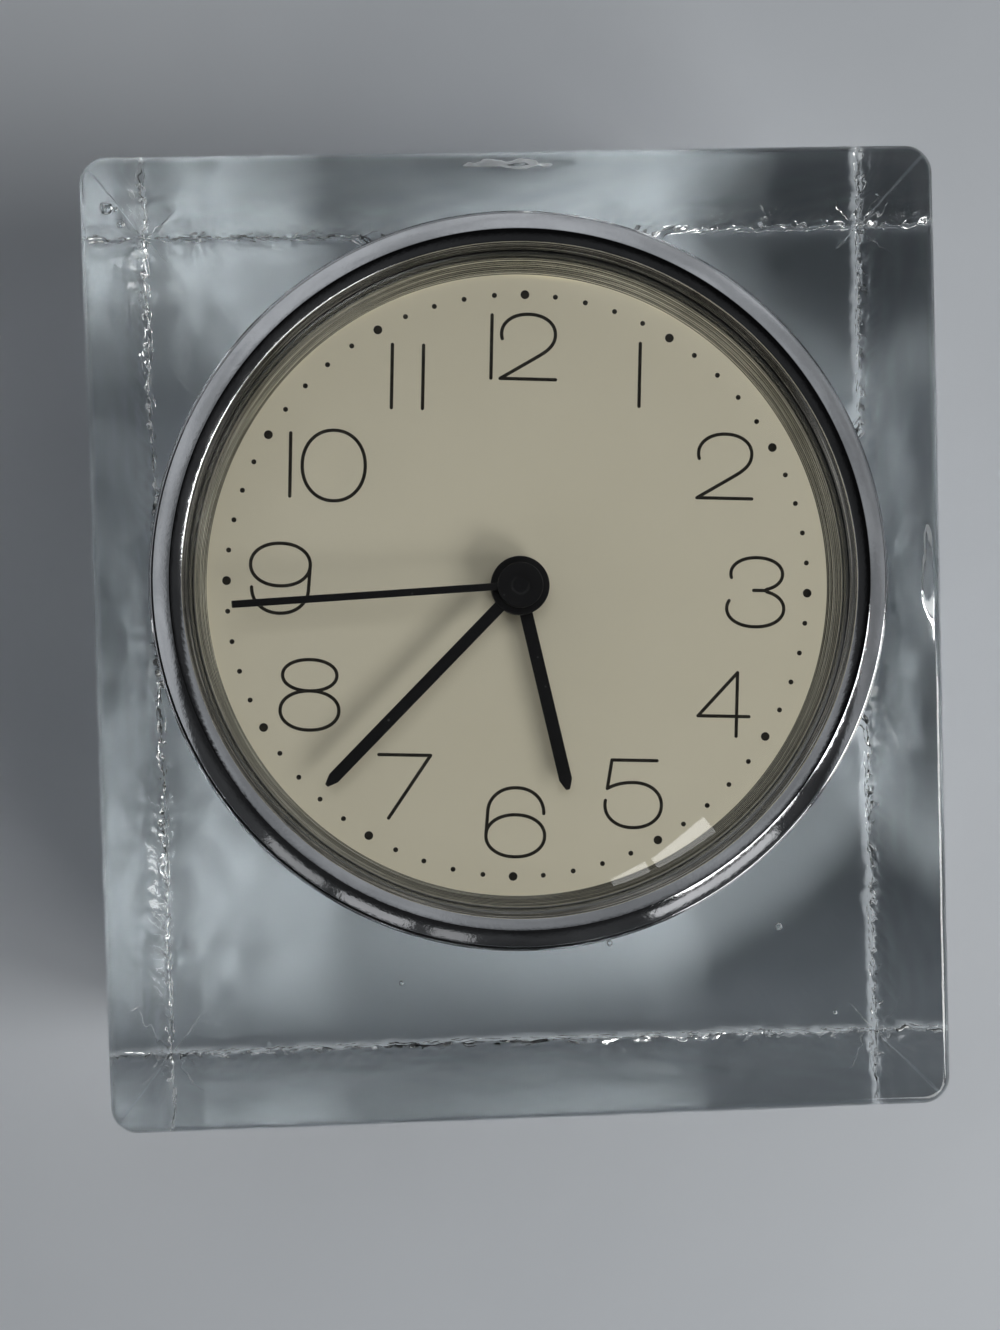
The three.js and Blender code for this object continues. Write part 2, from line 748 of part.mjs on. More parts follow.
// A toothed outline with straight flanks, and a tooth centred on the phase angle
function gearOutline(teeth, module, phase) {
  const pitchRadius = teeth * module / 2;
  const tip = pitchRadius + toothAddendum * module;
  const root = pitchRadius - toothDedendum * module;
  const pitchAngle = 2 * Math.PI / teeth;
  const tipHalf = toothTipShare * pitchAngle / 2;
  const rootHalf = toothRootShare * pitchAngle / 2;
  const points = [];
  for (let tooth = 0; tooth < teeth; tooth += 1) {
    const middle = phase + tooth * pitchAngle;
    const corners = [[root, -rootHalf], [tip, -tipHalf], [tip, tipHalf], [root, rootHalf]];
    corners.forEach(([radius, turn]) => points.push(new THREE.Vector2(
      radius * Math.cos(middle + turn), radius * Math.sin(middle + turn),
    )));
  }
  return new THREE.Shape(points);
}

// Phases that put a tooth of the first gear in a gap of the second, along the line between them
function meshing(firstAxis, secondAxis, secondTeeth) {
  const line = Math.atan2(secondAxis.y - firstAxis.y, secondAxis.x - firstAxis.x);
  return { first: line, second: line + Math.PI + Math.PI / secondTeeth };
}

const rotorMesh = meshing(rotorAxis, intermediateAxis, intermediateTeeth);
const secondsMesh = meshing(intermediateAxis, centreAxis, secondsTeeth);
const thirdMesh = meshing(centreAxis, thirdAxis, thirdTeeth);
const centreMesh = meshing(thirdAxis, centreAxis, centreTeeth);
const motionMesh = meshing(centreAxis, motionAxis, motionTeeth);
const hourMesh = meshing(motionAxis, centreAxis, hourTeeth);

function gear(teeth, module, phase, level, thickness = wheelThickness) {
  return plate(gearOutline(teeth, module, phase), level, thickness);
}

function rotor() {
  const magnetFront = thirdLevel;
  return at(join(
    rod(magnetRadius, magnetFront, magnetFront + magnetThickness),
    gear(rotorPinionTeeth, rotorModule, rotorMesh.first, intermediateLevel),
    rod(arborRadius, bridgeLevel, caseBackLevel + casePlate, pivotFacets),
  ), rotorAxis);
}

function intermediateWheel() {
  return at(join(
    gear(intermediateTeeth, rotorModule, rotorMesh.second, intermediateLevel),
    gear(intermediatePinionTeeth, secondsModule, secondsMesh.first, secondsLevel, wheelThickness + layerGap),
    rod(arborRadius, bridgeLevel, caseBackLevel + casePlate, pivotFacets),
  ), intermediateAxis);
}

function thirdWheel() {
  return at(join(
    gear(thirdTeeth, thirdModule, thirdMesh.second, thirdLevel),
    gear(thirdPinionTeeth, centreModule, centreMesh.first, centreLevel, wheelThickness + layerGap),
    rod(arborRadius, bridgeLevel, caseBackLevel + casePlate, pivotFacets),
  ), thirdAxis);
}

function centreWheel() {
  return cut(
    gear(centreTeeth, centreModule, centreMesh.second, centreLevel),
    rod(minutePipeOuter + clearance, centreLevel - overrun, centreLevel + wheelThickness + overrun),
  );
}

// Sprung washer that lets the minute arbor slip in the centre wheel while the time is set
function clutchSpring() {
  const front = centreLevel - clearance - clutchThickness;
  return pipe(clutchRadius, minutePipeOuter + clearance, front, front + clutchThickness);
}

function secondsArbor() {
  return join(
    gear(secondsTeeth, secondsModule, secondsMesh.second, secondsLevel),
    gear(secondsPinionTeeth, thirdModule, thirdMesh.first, thirdLevel, wheelThickness + layerGap),
    rod(arborRadius, secondsHandDepth + hubThickness, caseBackLevel + casePlate, pivotFacets),
  );
}

function cannonPinion() {
  const front = minuteHandDepth;
  const back = centreLevel + wheelThickness;
  return cut(
    join(
      rod(minutePipeOuter, front, back),
      gear(cannonTeeth, motionModule, motionMesh.first, cannonLevel),
    ),
    rod(minutePipeInner, front - overrun, back + overrun),
  );
}

function hourWheel() {
  const back = hourLevel + wheelThickness;
  return cut(
    join(
      rod(hourPipeOuter, hourHandDepth, back),
      gear(hourTeeth, hourModule, hourMesh.second, hourLevel),
    ),
    rod(hourPipeInner, hourHandDepth - overrun, back + overrun),
  );
}

function motionWheel() {
  return at(join(
    gear(motionTeeth, motionModule, motionMesh.second, cannonLevel),
    gear(motionPinionTeeth, hourModule, hourMesh.first, hourLevel, wheelThickness + layerGap),
    rod(settingShaftRadius, caseInnerFront + clearance, drumBackDepth + settingShaftReach),
  ), motionAxis);
}

// Ribbed knob with a blind hole for the setting shaft
function settingKnob() {
  const outline = [];
  const pitch = 2 * Math.PI / knobRibs;
  const root = knobRadius - knobRibDepth;
  for (let rib = 0; rib < knobRibs; rib += 1) {
    const foot = knobRibFoot / 2;
    const top = knobRibTop / 2;
    [[root, -foot], [knobRadius, -top], [knobRadius, top], [root, foot]].forEach(([radius, share]) => {
      const angle = (rib + share) * pitch;
      outline.push(new THREE.Vector2(radius * Math.cos(angle), radius * Math.sin(angle)));
    });
  }
  const front = drumBackDepth + clearance;
  const grip = plate(new THREE.Shape(outline), front, knobHeight);
  const socketEnd = drumBackDepth + settingShaftReach + clearance;
  const socket = rod(settingShaftRadius + clearance, front - overrun, socketEnd);
  return at(cut(grip, socket), motionAxis);
}

// Stator: a yoke round the rotor with two legs up to the coil's core
function stator() {
  const middle = rotorAxis.x;
  const top = caseTop - caseWall - clearance;
  const yoke = new THREE.Shape();
  const inner = statorHalfWidth - statorLegWidth;
  yoke.moveTo(middle - statorHalfWidth, statorBottom);
  yoke.lineTo(middle + statorHalfWidth, statorBottom);
  yoke.lineTo(middle + statorHalfWidth, top);
  yoke.lineTo(middle + inner, top);
  yoke.lineTo(middle + inner, statorWaist);
  yoke.lineTo(middle - inner, statorWaist);
  yoke.lineTo(middle - inner, top);
  yoke.lineTo(middle - statorHalfWidth, top);
  yoke.holes.push(circle(magnetRadius + magnetGap, rotorAxis.x, rotorAxis.y));
  return plate(yoke, thirdLevel + clearance, statorThickness);
}

function coilCore() {
  const back = thirdLevel;
  const middle = rotorAxis.x;
  const half = statorHalfWidth - statorLegWidth + coreLap;
  return block(
    middle - half, coilHeight - coreWidth / 2, back - coreThickness,
    middle + half, coilHeight + coreWidth / 2, back,
  );
}

function onCore(geometry) {
  return alongX(geometry, coilHeight, thirdLevel - coreThickness / 2).translate(rotorAxis.x, 0, 0);
}

function coilBobbin() {
  const half = statorHalfWidth - statorLegWidth - clearance;
  const hollow = Math.hypot(coreWidth, coreThickness) / 2 + clearance;
  const wall = half - bobbinFlange;
  return onCore(turned([
    [hollow, -half], [bobbinRadius, -half], [bobbinRadius, -wall], [bobbinTubeRadius, -wall],
    [bobbinTubeRadius, wall], [bobbinRadius, wall], [bobbinRadius, half], [hollow, half],
  ], smallFacets));
}

function coilWinding() {
  const half = statorHalfWidth - statorLegWidth - bobbinFlange - 2 * clearance;
  return onCore(pipe(windingRadius, bobbinTubeRadius + clearance, -half, half));
}

// Circuit board in the case's upper left corner, with its crystal can and chip on the front
const boardLeft = -caseHalfWidth + caseWall + clearance;
const boardTop = caseTop - caseWall - clearance;
const boardFront = secondsLevel + clearance;

function circuitBoard() {
  return block(
    boardLeft, boardTop - boardHeight, boardFront,
    boardLeft + boardWidth, boardTop, boardFront + boardThickness,
  );
}

function crystalCan() {
  const can = rod(crystalCanRadius, -crystalCanLength / 2, crystalCanLength / 2);
  const middle = boardLeft + boardWidth / 2;
  return alongX(can, boardTop - crystalCanInset, boardFront - clearance - crystalCanRadius).translate(middle, 0, 0);
}

function controlChip() {
  const back = boardFront - clearance;
  const shoulder = chipRadius - chipHeight / 2;
  const drop = turned([
    [0, back], [chipRadius, back], [shoulder, back - chipHeight / 2], [0, back - chipHeight],
  ], smallFacets);
  return at(drop, new THREE.Vector2(boardLeft + boardWidth / 2, boardTop - chipInset));
}

// Assembly: the insert sits in the bore, turned a little clockwise as in use
const clock = new THREE.Group();
clock.add(glassBlock());

const insert = new THREE.Group();
insert.position.set(0, -blockDepth / 2, boreHeight);
insert.rotation.set(Math.PI / 2, 0, -insertTurn);
clock.add(insert);

const hourBore = hourPipeOuter + clearance;
const minuteBore = minutePipeOuter + clearance;
insert.add(
  mesh('bezel', bezel(), finish.chrome),
  mesh('crystal', crystal(), finish.crystal),
  mesh('reflector_ring', reflectorRing(), finish.reflector),
  mesh('dial', dial(), finish.cream),
  mesh('hour_hand', hand(hourHand, hourHandDepth, hourBore), finish.black),
  mesh('minute_hand', hand(minuteHand, minuteHandDepth, minuteBore), finish.black),
  mesh('seconds_hand', hand(secondsHand, secondsHandDepth, 0), finish.black),
  mesh('drum', drum(), finish.darkPlastic),
  mesh('grip_ring', gripRing(), finish.rubber),
  mesh('back_cover', backCover(), finish.darkPlastic),
  mesh('battery_lid', batteryLid(), finish.darkPlastic),
  mesh('battery_tray', batteryTray(), finish.darkPlastic),
  mesh('battery', battery(), finish.cell),
  mesh('plus_contact', plusContact(), finish.steel),
  mesh('minus_contact', minusContact(), finish.steel),
  mesh('movement_case', caseFrontShell(), finish.greyPlastic),
  mesh('movement_back', caseBackPlate(), finish.greyPlastic),
  mesh('bridge_plate', bridgePlate(), finish.naturalPlastic),
  mesh('rotor', rotor(), finish.steel),
  mesh('intermediate_wheel', intermediateWheel(), finish.naturalPlastic),
  mesh('third_wheel', thirdWheel(), finish.naturalPlastic),
  mesh('centre_wheel', centreWheel(), finish.naturalPlastic),
  mesh('clutch_spring', clutchSpring(), finish.brass),
  mesh('seconds_wheel', secondsArbor(), finish.naturalPlastic),
  mesh('cannon_pinion', cannonPinion(), finish.brass),
  mesh('hour_wheel', hourWheel(), finish.naturalPlastic),
  mesh('motion_wheel', motionWheel(), finish.naturalPlastic),
  mesh('setting_knob', settingKnob(), finish.darkPlastic),
  mesh('stator', stator(), finish.steel),
  mesh('coil_core', coilCore(), finish.steel),
  mesh('coil_bobbin', coilBobbin(), finish.naturalPlastic),
  mesh('coil_winding', coilWinding(), finish.copper),
  mesh('circuit_board', circuitBoard(), finish.board),
  mesh('crystal_can', crystalCan(), finish.steel),
  mesh('control_chip', controlChip(), finish.black),
);

coverPosts().forEach((axis, index) => {
  const seat = drumBackDepth + clearance;
  insert.add(mesh(`cover_screw_${index + 1}`, screw(seat, coverScrewLength, axis), finish.steel));
});

casePostAxes().forEach((axis, index) => {
  const seat = caseBackLevel + casePlate + clearance;
  insert.add(mesh(`case_screw_${index + 1}`, screw(seat, caseScrewLength, axis), finish.steel));
});

earAxes().forEach((axis, index) => {
  const seat = caseFront + caseEarThickness + clearance;
  const length = seat - drumFront - clearance;
  insert.add(mesh(`ear_screw_${index + 1}`, screw(seat, length, axis), finish.steel));
});

export default clock;
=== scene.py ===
import json
import math

import bmesh
import bpy
import numpy as np
from mathutils import Euler, Matrix, Vector


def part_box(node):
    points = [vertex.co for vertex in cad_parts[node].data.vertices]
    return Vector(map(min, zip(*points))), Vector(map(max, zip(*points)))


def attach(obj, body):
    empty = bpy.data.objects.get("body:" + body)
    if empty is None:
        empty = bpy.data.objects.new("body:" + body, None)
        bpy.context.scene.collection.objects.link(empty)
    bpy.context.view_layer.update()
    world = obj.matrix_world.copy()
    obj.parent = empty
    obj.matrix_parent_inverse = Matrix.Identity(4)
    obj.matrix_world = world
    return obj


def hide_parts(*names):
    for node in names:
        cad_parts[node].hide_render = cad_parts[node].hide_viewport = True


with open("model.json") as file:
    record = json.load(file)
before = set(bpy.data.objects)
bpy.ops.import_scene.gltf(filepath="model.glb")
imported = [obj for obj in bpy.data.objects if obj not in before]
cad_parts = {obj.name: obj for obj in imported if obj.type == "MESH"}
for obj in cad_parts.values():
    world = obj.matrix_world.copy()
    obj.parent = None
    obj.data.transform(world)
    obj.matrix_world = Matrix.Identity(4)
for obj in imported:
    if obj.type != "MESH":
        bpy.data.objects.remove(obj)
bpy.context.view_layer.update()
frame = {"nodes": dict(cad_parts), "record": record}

# A glass block clock: cast glass, a chromed insert and its battery movement.
# Sizes are in millimetres until a mesh is made. Inside the insert x is right, y is up and depth runs back
# from the block's front face, all seen from the front.

scene = bpy.context.scene
MM = 0.001


def middle_of(node):
    low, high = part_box(node)
    return (low + high) / (2 * MM)


block_low, block_high = (np.array(corner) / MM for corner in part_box("glass_block"))
BLOCK_FRONT = block_low[1]
BLOCK_BACK = block_high[1]
BORE_CENTRE = np.array([middle_of("bezel").x, middle_of("bezel").z])
INSERT_TURN = math.radians(2.7)

# Glass block
FRONT_CORNER_RADIUS = 4.0
REAR_CORNER_RADIUS = 0.5
CORNER_FADE = 6.0
FRONT_EDGE_RADIUS = 1.6
REAR_EDGE_RADIUS = 1.1
BORE_RADIUS = 49.5
BORE_ROUND = 0.8
SIDE_POINTS = 340
CORNER_POINTS = 18
BUBBLES = [  # x, depth, z and radius of the seeds left in the glass
    (-57.2, 6.0, 131.0, 0.95), (-56.0, 9.0, 129.4, 0.5), (-57.6, 14.0, 133.0, 0.4),
    (37.0, 9.0, 25.0, 0.55), (12.5, 15.0, 21.8, 0.45), (-20.0, 30.0, 14.0, 0.4), (48.0, 22.0, 9.0, 0.35),
]

# The waves of the cast surface: their lengths, and how deep they may be in each part of it. A pair runs
# from the part's front or middle to its rear or rim.
SLOW_WAVE = 22.0
MIDDLE_WAVE = 7.0
QUICK_WAVE = 1.6
SPARKLE_WAVE = 0.75
BORE_SINK = 0.03
BORE_ROUND_SINK = 0.02
FRONT_SINK = (0.02, 0.07)
FRONT_EDGE_SINK = 0.08
SIDE_SINK = (0.12, 0.5)
REAR_EDGE_SINK = 0.5
REAR_SINK = (0.15, 0.5)

# Bezel, crystal, reflector and dial
BEZEL_RIM = 51.5
BEZEL_LIP_BACK = -0.3
BEZEL_LIP_FRONT = -1.6
CONE_FOOT = 50.3
CONE_FOOT_FRONT = -3.1
CREST_RADIUS = 47.7
CREST_FRONT = -4.4
INNER_FOOT = 46.25
INNER_FOOT_FRONT = -3.6
SIGHT_RADIUS = 46.3
SIGHT_BACK = -0.4
SIGHT_GROOVES = 6
SIGHT_GROOVE_DEPTH = 0.13
SKIRT_OUTER = 49.0
SKIRT_INNER = 48.4
SKIRT_BACK = 14.0
CRYSTAL_POCKET = 47.2
CRYSTAL_POCKET_BACK = 1.9
CRYSTAL_RADIUS = 46.9
CRYSTAL_FRONT = -0.1
CRYSTAL_THICKNESS = 2.0
CRYSTAL_RISE = 3.0
REFLECTOR_FRONT = 2.2
REFLECTOR_BACK = 7.7
REFLECTOR_OUTER = 48.1
REFLECTOR_MOUTH = 46.05
REFLECTOR_BEAD = 0.25
REFLECTOR_THROAT = 45.6
REFLECTOR_LANDS = 9
DIAL_FACE = 8.0
DIAL_THICKNESS = 0.8
DIAL_RADIUS = 48.1
DIAL_HOLE = 3.0

# Print on the dial
INK_THICKNESS = 0.05
STROKE_WIDTH = 0.5
STROKE_SIDES = 8
DOT_CIRCLE = 42.8
DOT_POINTS = 20
HOUR_DOT_RADIUS = 0.65
MINUTE_DOT_RADIUS = 0.37

# Hands: the blade's length, width, front and tip, the hub, and the angle clockwise from twelve
HANDS = {
    "hour_hand": {"length": 30.5, "width": 1.9, "blade_front": 5.8, "tip": 1.5, "angle": 165.4,
                  "hub_radius": 4.25, "hub_front": 5.5, "hub_back": 6.5, "bore": 2.7},
    "minute_hand": {"length": 40.0, "width": 1.75, "blade_front": 4.4, "tip": 1.5, "angle": 222.9,
                    "hub_radius": 4.25, "hub_front": 4.1, "hub_back": 5.1, "bore": 1.6},
    "seconds_hand": {"length": 41.0, "width": 1.05, "blade_front": 3.0, "tip": 0.0, "angle": 264.9,
                     "hub_radius": 3.25, "hub_front": 2.7, "hub_back": 3.7, "bore": 0.0},
}
BLADE_THICKNESS = 0.4
BLADE_EASE = 0.12
HUB_EASE = 0.16


# Places and meshes

def in_insert(x, y, depth):
    """Local x, y and depth to the shared frame: a turn about the bore's axis, then a move to its centre."""
    cosine, sine = math.cos(INSERT_TURN), math.sin(INSERT_TURN)
    x, y, depth = np.broadcast_arrays(x, y, depth)
    return np.stack([
        BORE_CENTRE[0] + x * cosine + y * sine,
        BLOCK_FRONT + depth,
        BORE_CENTRE[1] - x * sine + y * cosine,
    ], axis=-1)


def body_with(node):
    bodies = frame["record"]["behaviour"]["bodies"]
    return next(body for body, nodes in bodies.items() if node in nodes)


def grid_faces(rows, columns, loop_rows, loop_columns):
    """Quads between neighbouring rows and columns of a grid of vertices numbered row by row."""
    row = np.arange(rows if loop_rows else rows - 1)[:, None]
    column = np.arange(columns if loop_columns else columns - 1)[None, :]
    next_row, next_column = (row + 1) % rows, (column + 1) % columns
    corners = [row * columns + column, row * columns + next_column,
               next_row * columns + next_column, next_row * columns + column]
    return np.stack(np.broadcast_arrays(*corners), axis=-1).reshape(-1, 4)


def capped_tube(rows, columns):
    """The faces of a tube of closed rows, with its first and last row as lids."""
    last = rows * columns
    lids = [list(range(columns))[::-1], list(range(last - columns, last))]
    return grid_faces(rows, columns, False, True).tolist() + lids


def smoothed(mesh, angle):
    """Smooth faces, parted along each edge that is sharper than the angle."""
    mesh.polygons.foreach_set("use_smooth", np.ones(len(mesh.polygons), bool))
    mesh.set_sharp_from_angle(angle=math.radians(angle))


def make_mesh(name, vertices, faces, smooth_angle=40, keep_sides=False):
    """One object at the origin from vertices in mm, with doubles merged and its faces turned outwards."""
    mesh = bpy.data.meshes.new(name)
    mesh.from_pydata((np.asarray(vertices, float) * MM).tolist(), [], [list(face) for face in faces])
    shape = bmesh.new()
    shape.from_mesh(mesh)
    bmesh.ops.remove_doubles(shape, verts=shape.verts, dist=1e-7)
    if not keep_sides:
        bmesh.ops.recalc_face_normals(shape, faces=shape.faces)
    shape.to_mesh(mesh)
    shape.free()
    smoothed(mesh, smooth_angle)
    made = bpy.data.objects.new(name, mesh)
    scene.collection.objects.link(made)
    return made


def place(made, node, finish):
    """The piece rides with its node's body, stands for the node and takes the finish."""
    made.data.materials.clear()
    made.data.materials.append(finish)
    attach(made, body_with(node))
    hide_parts(node)


def eased(profile, radius, steps):
    """A closed outline with each corner replaced by a curve that starts and ends radius away from it:
    (1 - t)^2 start + 2 t (1 - t) corner + t^2 end."""
    points = np.asarray(profile, float)
    before, after = np.roll(points, 1, axis=0), np.roll(points, -1, axis=0)
    reach_in = np.linalg.norm(before - points, axis=1, keepdims=True)
    reach_out = np.linalg.norm(after - points, axis=1, keepdims=True)
    start = points + (before - points) / reach_in * np.minimum(radius, 0.4 * reach_in)
    end = points + (after - points) / reach_out * np.minimum(radius, 0.4 * reach_out)
    share = np.linspace(0, 1, steps + 1)[None, :, None]
    curve = (1 - share) ** 2 * start[:, None] + 2 * share * (1 - share) * points[:, None]
    curve = curve + share ** 2 * end[:, None]
    return curve.reshape(-1, 2)


def swung(profile, facets):
    """Points of a profile of radius and depth at each step round the axis: (r cos a, r sin a, depth)."""
    radius, depth = np.asarray(profile, float).T
    angle = np.linspace(0, 2 * np.pi, facets, endpoint=False)[:, None]
    across, up = radius * np.cos(angle), radius * np.sin(angle)
    return np.stack(np.broadcast_arrays(across, up, depth), axis=-1).reshape(-1, 3)


def turned(profile, facets, closed=True):
    """The vertices and faces of a profile swung once round the insert's axis."""
    return in_insert(*swung(profile, facets).T), grid_faces(facets, len(profile), True, closed)


def combined(*parts):
    """Several lists of vertices and faces as one."""
    vertices, faces, start = [], [], 0
    for part_vertices, part_faces in parts:
        vertices.append(np.asarray(part_vertices))
        faces.extend([[start + index for index in face] for face in part_faces])
        start += len(part_vertices)
    return np.vstack(vertices), faces


def waves(points, wavelength, seed, count=10):
    """Many sine waves of random direction, phase and near-equal length, added and scaled to run from
    0 to 1."""
    random = np.random.default_rng(seed)
    direction = random.normal(size=(count, 3))
    direction /= np.linalg.norm(direction, axis=1, keepdims=True)
    pace = 2 * np.pi / (wavelength * random.uniform(0.6, 1.7, count))
    phase = random.uniform(0, 2 * np.pi, count)
    total = np.sin(points @ (direction * pace[:, None]).T + phase).sum(axis=-1)
    return np.clip(0.5 + total / (2.6 * math.sqrt(count)), 0, 1)


def between(pair, share):
    return pair[0] + (pair[1] - pair[0]) * share


# Glass block

def block_outline(inset, corner_radius):
    """Rounded rectangle in x and z, drawn in from the block's sides: four quarter circles with straight
    sides between, with its outward normals."""
    corner_radius = max(corner_radius - inset, 0.05)
    corners = [(1, -1, -90), (1, 1, 0), (-1, 1, 90), (-1, -1, 180)]
    low, high = block_low[[0, 2]] + inset + corner_radius, block_high[[0, 2]] - inset - corner_radius
    points, normals = [], []
    for sign_x, sign_z, start in corners:
        centre = np.array([high[0] if sign_x > 0 else low[0], high[1] if sign_z > 0 else low[1]])
        angle = np.radians(start + np.linspace(0, 90, CORNER_POINTS))
        normal = np.stack([np.cos(angle), np.sin(angle)], axis=-1)
        points.append(centre + corner_radius * normal)
        normals.append(normal)
    outline, outward = [], []
    for index in range(4):
        first, last = points[index][-1], points[(index + 1) % 4][0]
        share = np.linspace(0, 1, SIDE_POINTS + 2)[1:-1, None]
        outline += [points[index], first + (last - first) * share]
        outward += [normals[index], np.repeat(normals[index][-1:], SIDE_POINTS, axis=0)]
    return np.vstack(outline), np.vstack(outward)


def block_sections(outline, outward):
    """For each point of the outline, one closed section of the block: up the bore's wall, out over the
    front face, round its edge, back along the side, round the rear edge and in over the rear face. Gives
    each point's place and normal, how deep the waves may be there and the share of the small ones."""
    rear_outline, _ = block_outline(0.0, REAR_CORNER_RADIUS)
    front_rim = outline - outward * FRONT_EDGE_RADIUS
    rear_rim, _ = block_outline(REAR_EDGE_RADIUS, REAR_CORNER_RADIUS)
    radial = front_rim - BORE_CENTRE
    radial /= np.linalg.norm(radial, axis=1, keepdims=True)
    mouth = BORE_CENTRE + radial * (BORE_RADIUS + BORE_ROUND)
    depth_size = BLOCK_BACK - BLOCK_FRONT
    count = len(outline)
    flat_face = np.zeros_like(outward)
    columns = []

    def add(flat, depth, flat_normal, depth_normal, sink, small_share):
        position = np.stack([flat[:, 0], np.full(count, BLOCK_FRONT + depth), flat[:, 1]], axis=-1)
        normal = np.stack([flat_normal[:, 0], np.full(count, depth_normal), flat_normal[:, 1]], axis=-1)
        normal = normal / np.linalg.norm(normal, axis=1, keepdims=True)
        columns.append((position, normal, np.full(count, sink), np.full(count, small_share)))

    for depth in np.linspace(depth_size - BORE_ROUND, BORE_ROUND, 5)[:-1]:
        add(BORE_CENTRE + radial * BORE_RADIUS, depth, -radial, 0.0, BORE_SINK, 0.0)
    for angle in np.radians([0, 30, 60, 90]):
        radius = BORE_RADIUS + BORE_ROUND * (1 - math.cos(angle))
        add(BORE_CENTRE + radial * radius, BORE_ROUND * (1 - math.sin(angle)),
            -radial * math.cos(angle), -math.sin(angle), BORE_ROUND_SINK, 0.0)
    for share in (np.linspace(0, 1, 9) ** 0.8)[1:]:
        add(mouth + (front_rim - mouth) * share, 0.0, flat_face, -1.0, between(FRONT_SINK, share), 0.0)
    for angle in np.linspace(0, np.pi / 2, 7)[1:]:
        add(outline - outward * FRONT_EDGE_RADIUS * (1 - math.sin(angle)),
            FRONT_EDGE_RADIUS * (1 - math.cos(angle)),
            outward * math.sin(angle), -math.cos(angle), FRONT_EDGE_SINK, 0.05)
    for share in 1 - (1 - np.linspace(0, 1, 18)[1:]) ** 1.4:
        along = share * (depth_size - FRONT_EDGE_RADIUS - REAR_EDGE_RADIUS)
        fade = min(along / CORNER_FADE, 1.0)
        fade = fade * fade * (3 - 2 * fade)
        add(outline + (rear_outline - outline) * fade, FRONT_EDGE_RADIUS + along, outward, 0.0,
            between(SIDE_SINK, share), between((0.05, 1.0), share ** 6))
    for angle in np.linspace(0, np.pi / 2, 13)[1:]:
        drawn_in, _ = block_outline(REAR_EDGE_RADIUS * (1 - math.cos(angle)), REAR_CORNER_RADIUS)
        add(drawn_in, depth_size - REAR_EDGE_RADIUS * (1 - math.sin(angle)),
            outward * math.cos(angle), math.sin(angle), REAR_EDGE_SINK, 1.0)
    for share in (np.linspace(0, 1, 14) ** 1.8)[1:]:
        add(rear_rim + (mouth - rear_rim) * share, depth_size, flat_face, 1.0,
            between(REAR_SINK, (1 - share) ** 4), (1 - share) ** 10)
    for angle in np.radians([30, 60]):
        radius = BORE_RADIUS + BORE_ROUND * (1 - math.sin(angle))
        add(BORE_CENTRE + radial * radius, depth_size - BORE_ROUND * (1 - math.cos(angle)),
            -radial * math.sin(angle), math.cos(angle), BORE_SINK, 0.0)
    return (np.stack(part, axis=1) for part in zip(*columns))


def cast_block():
    """The block's surface, sunk along its normal by broad waves and small ones. The small waves follow the
    way round the outline and across it. They are drawn out along the edges, most at the top and bottom,
    and all but gone round the upright corners."""
    outline, outward = block_outline(0.0, FRONT_CORNER_RADIUS)
    position, normal, sink, small_share = block_sections(outline, outward)
    step_round = np.linalg.norm(outline - np.roll(outline, 1, axis=0), axis=1)
    step_round = step_round * (0.3 + 0.5 * np.abs(outward[:, 0]))
    step_across = np.linalg.norm(np.diff(position, axis=1, prepend=position[:, :1]), axis=2)
    way_round = np.broadcast_to(np.cumsum(step_round)[:, None], step_across.shape)
    ways = np.stack([way_round, np.cumsum(step_across, axis=1), 0 * way_round], axis=-1)
    broad = 0.5 * waves(position, SLOW_WAVE, seed=3) + 0.5 * waves(position, MIDDLE_WAVE, seed=6)
    small = (0.75 * waves(ways, QUICK_WAVE, seed=21, count=14)
             + 0.55 * waves(ways, SPARKLE_WAVE, seed=13, count=14))
    calm = 1 - 1.8 * np.abs(outward[:, :1] * outward[:, 1:])
    depth_in = sink * broad + sink * small_share * calm * small
    vertices = (position - normal * depth_in[..., None]).reshape(-1, 3)
    made = make_mesh("cast_glass_block", vertices, grid_faces(*sink.shape, True, True), smooth_angle=60)
    add_bubbles(made)
    return made


def add_bubbles(block):
    """Small spheres inside the glass, whose faces look into the bubble as the block's look into the air."""
    shape = bmesh.new()
    shape.from_mesh(block.data)
    for x, depth, z, radius in BUBBLES:
        before = set(shape.faces)
        bmesh.ops.create_uvsphere(shape, u_segments=16, v_segments=10, radius=radius * MM)
        added = [face for face in shape.faces if face not in before]
        points = {point for face in added for point in face.verts}
        bmesh.ops.translate(shape, verts=list(points), vec=Vector((x, BLOCK_FRONT + depth, z)) * MM)
        bmesh.ops.reverse_faces(shape, faces=added)
        for face in added:
            face.smooth = True
    shape.to_mesh(block.data)
    shape.free()


# Insert: bezel, crystal, reflector and dial

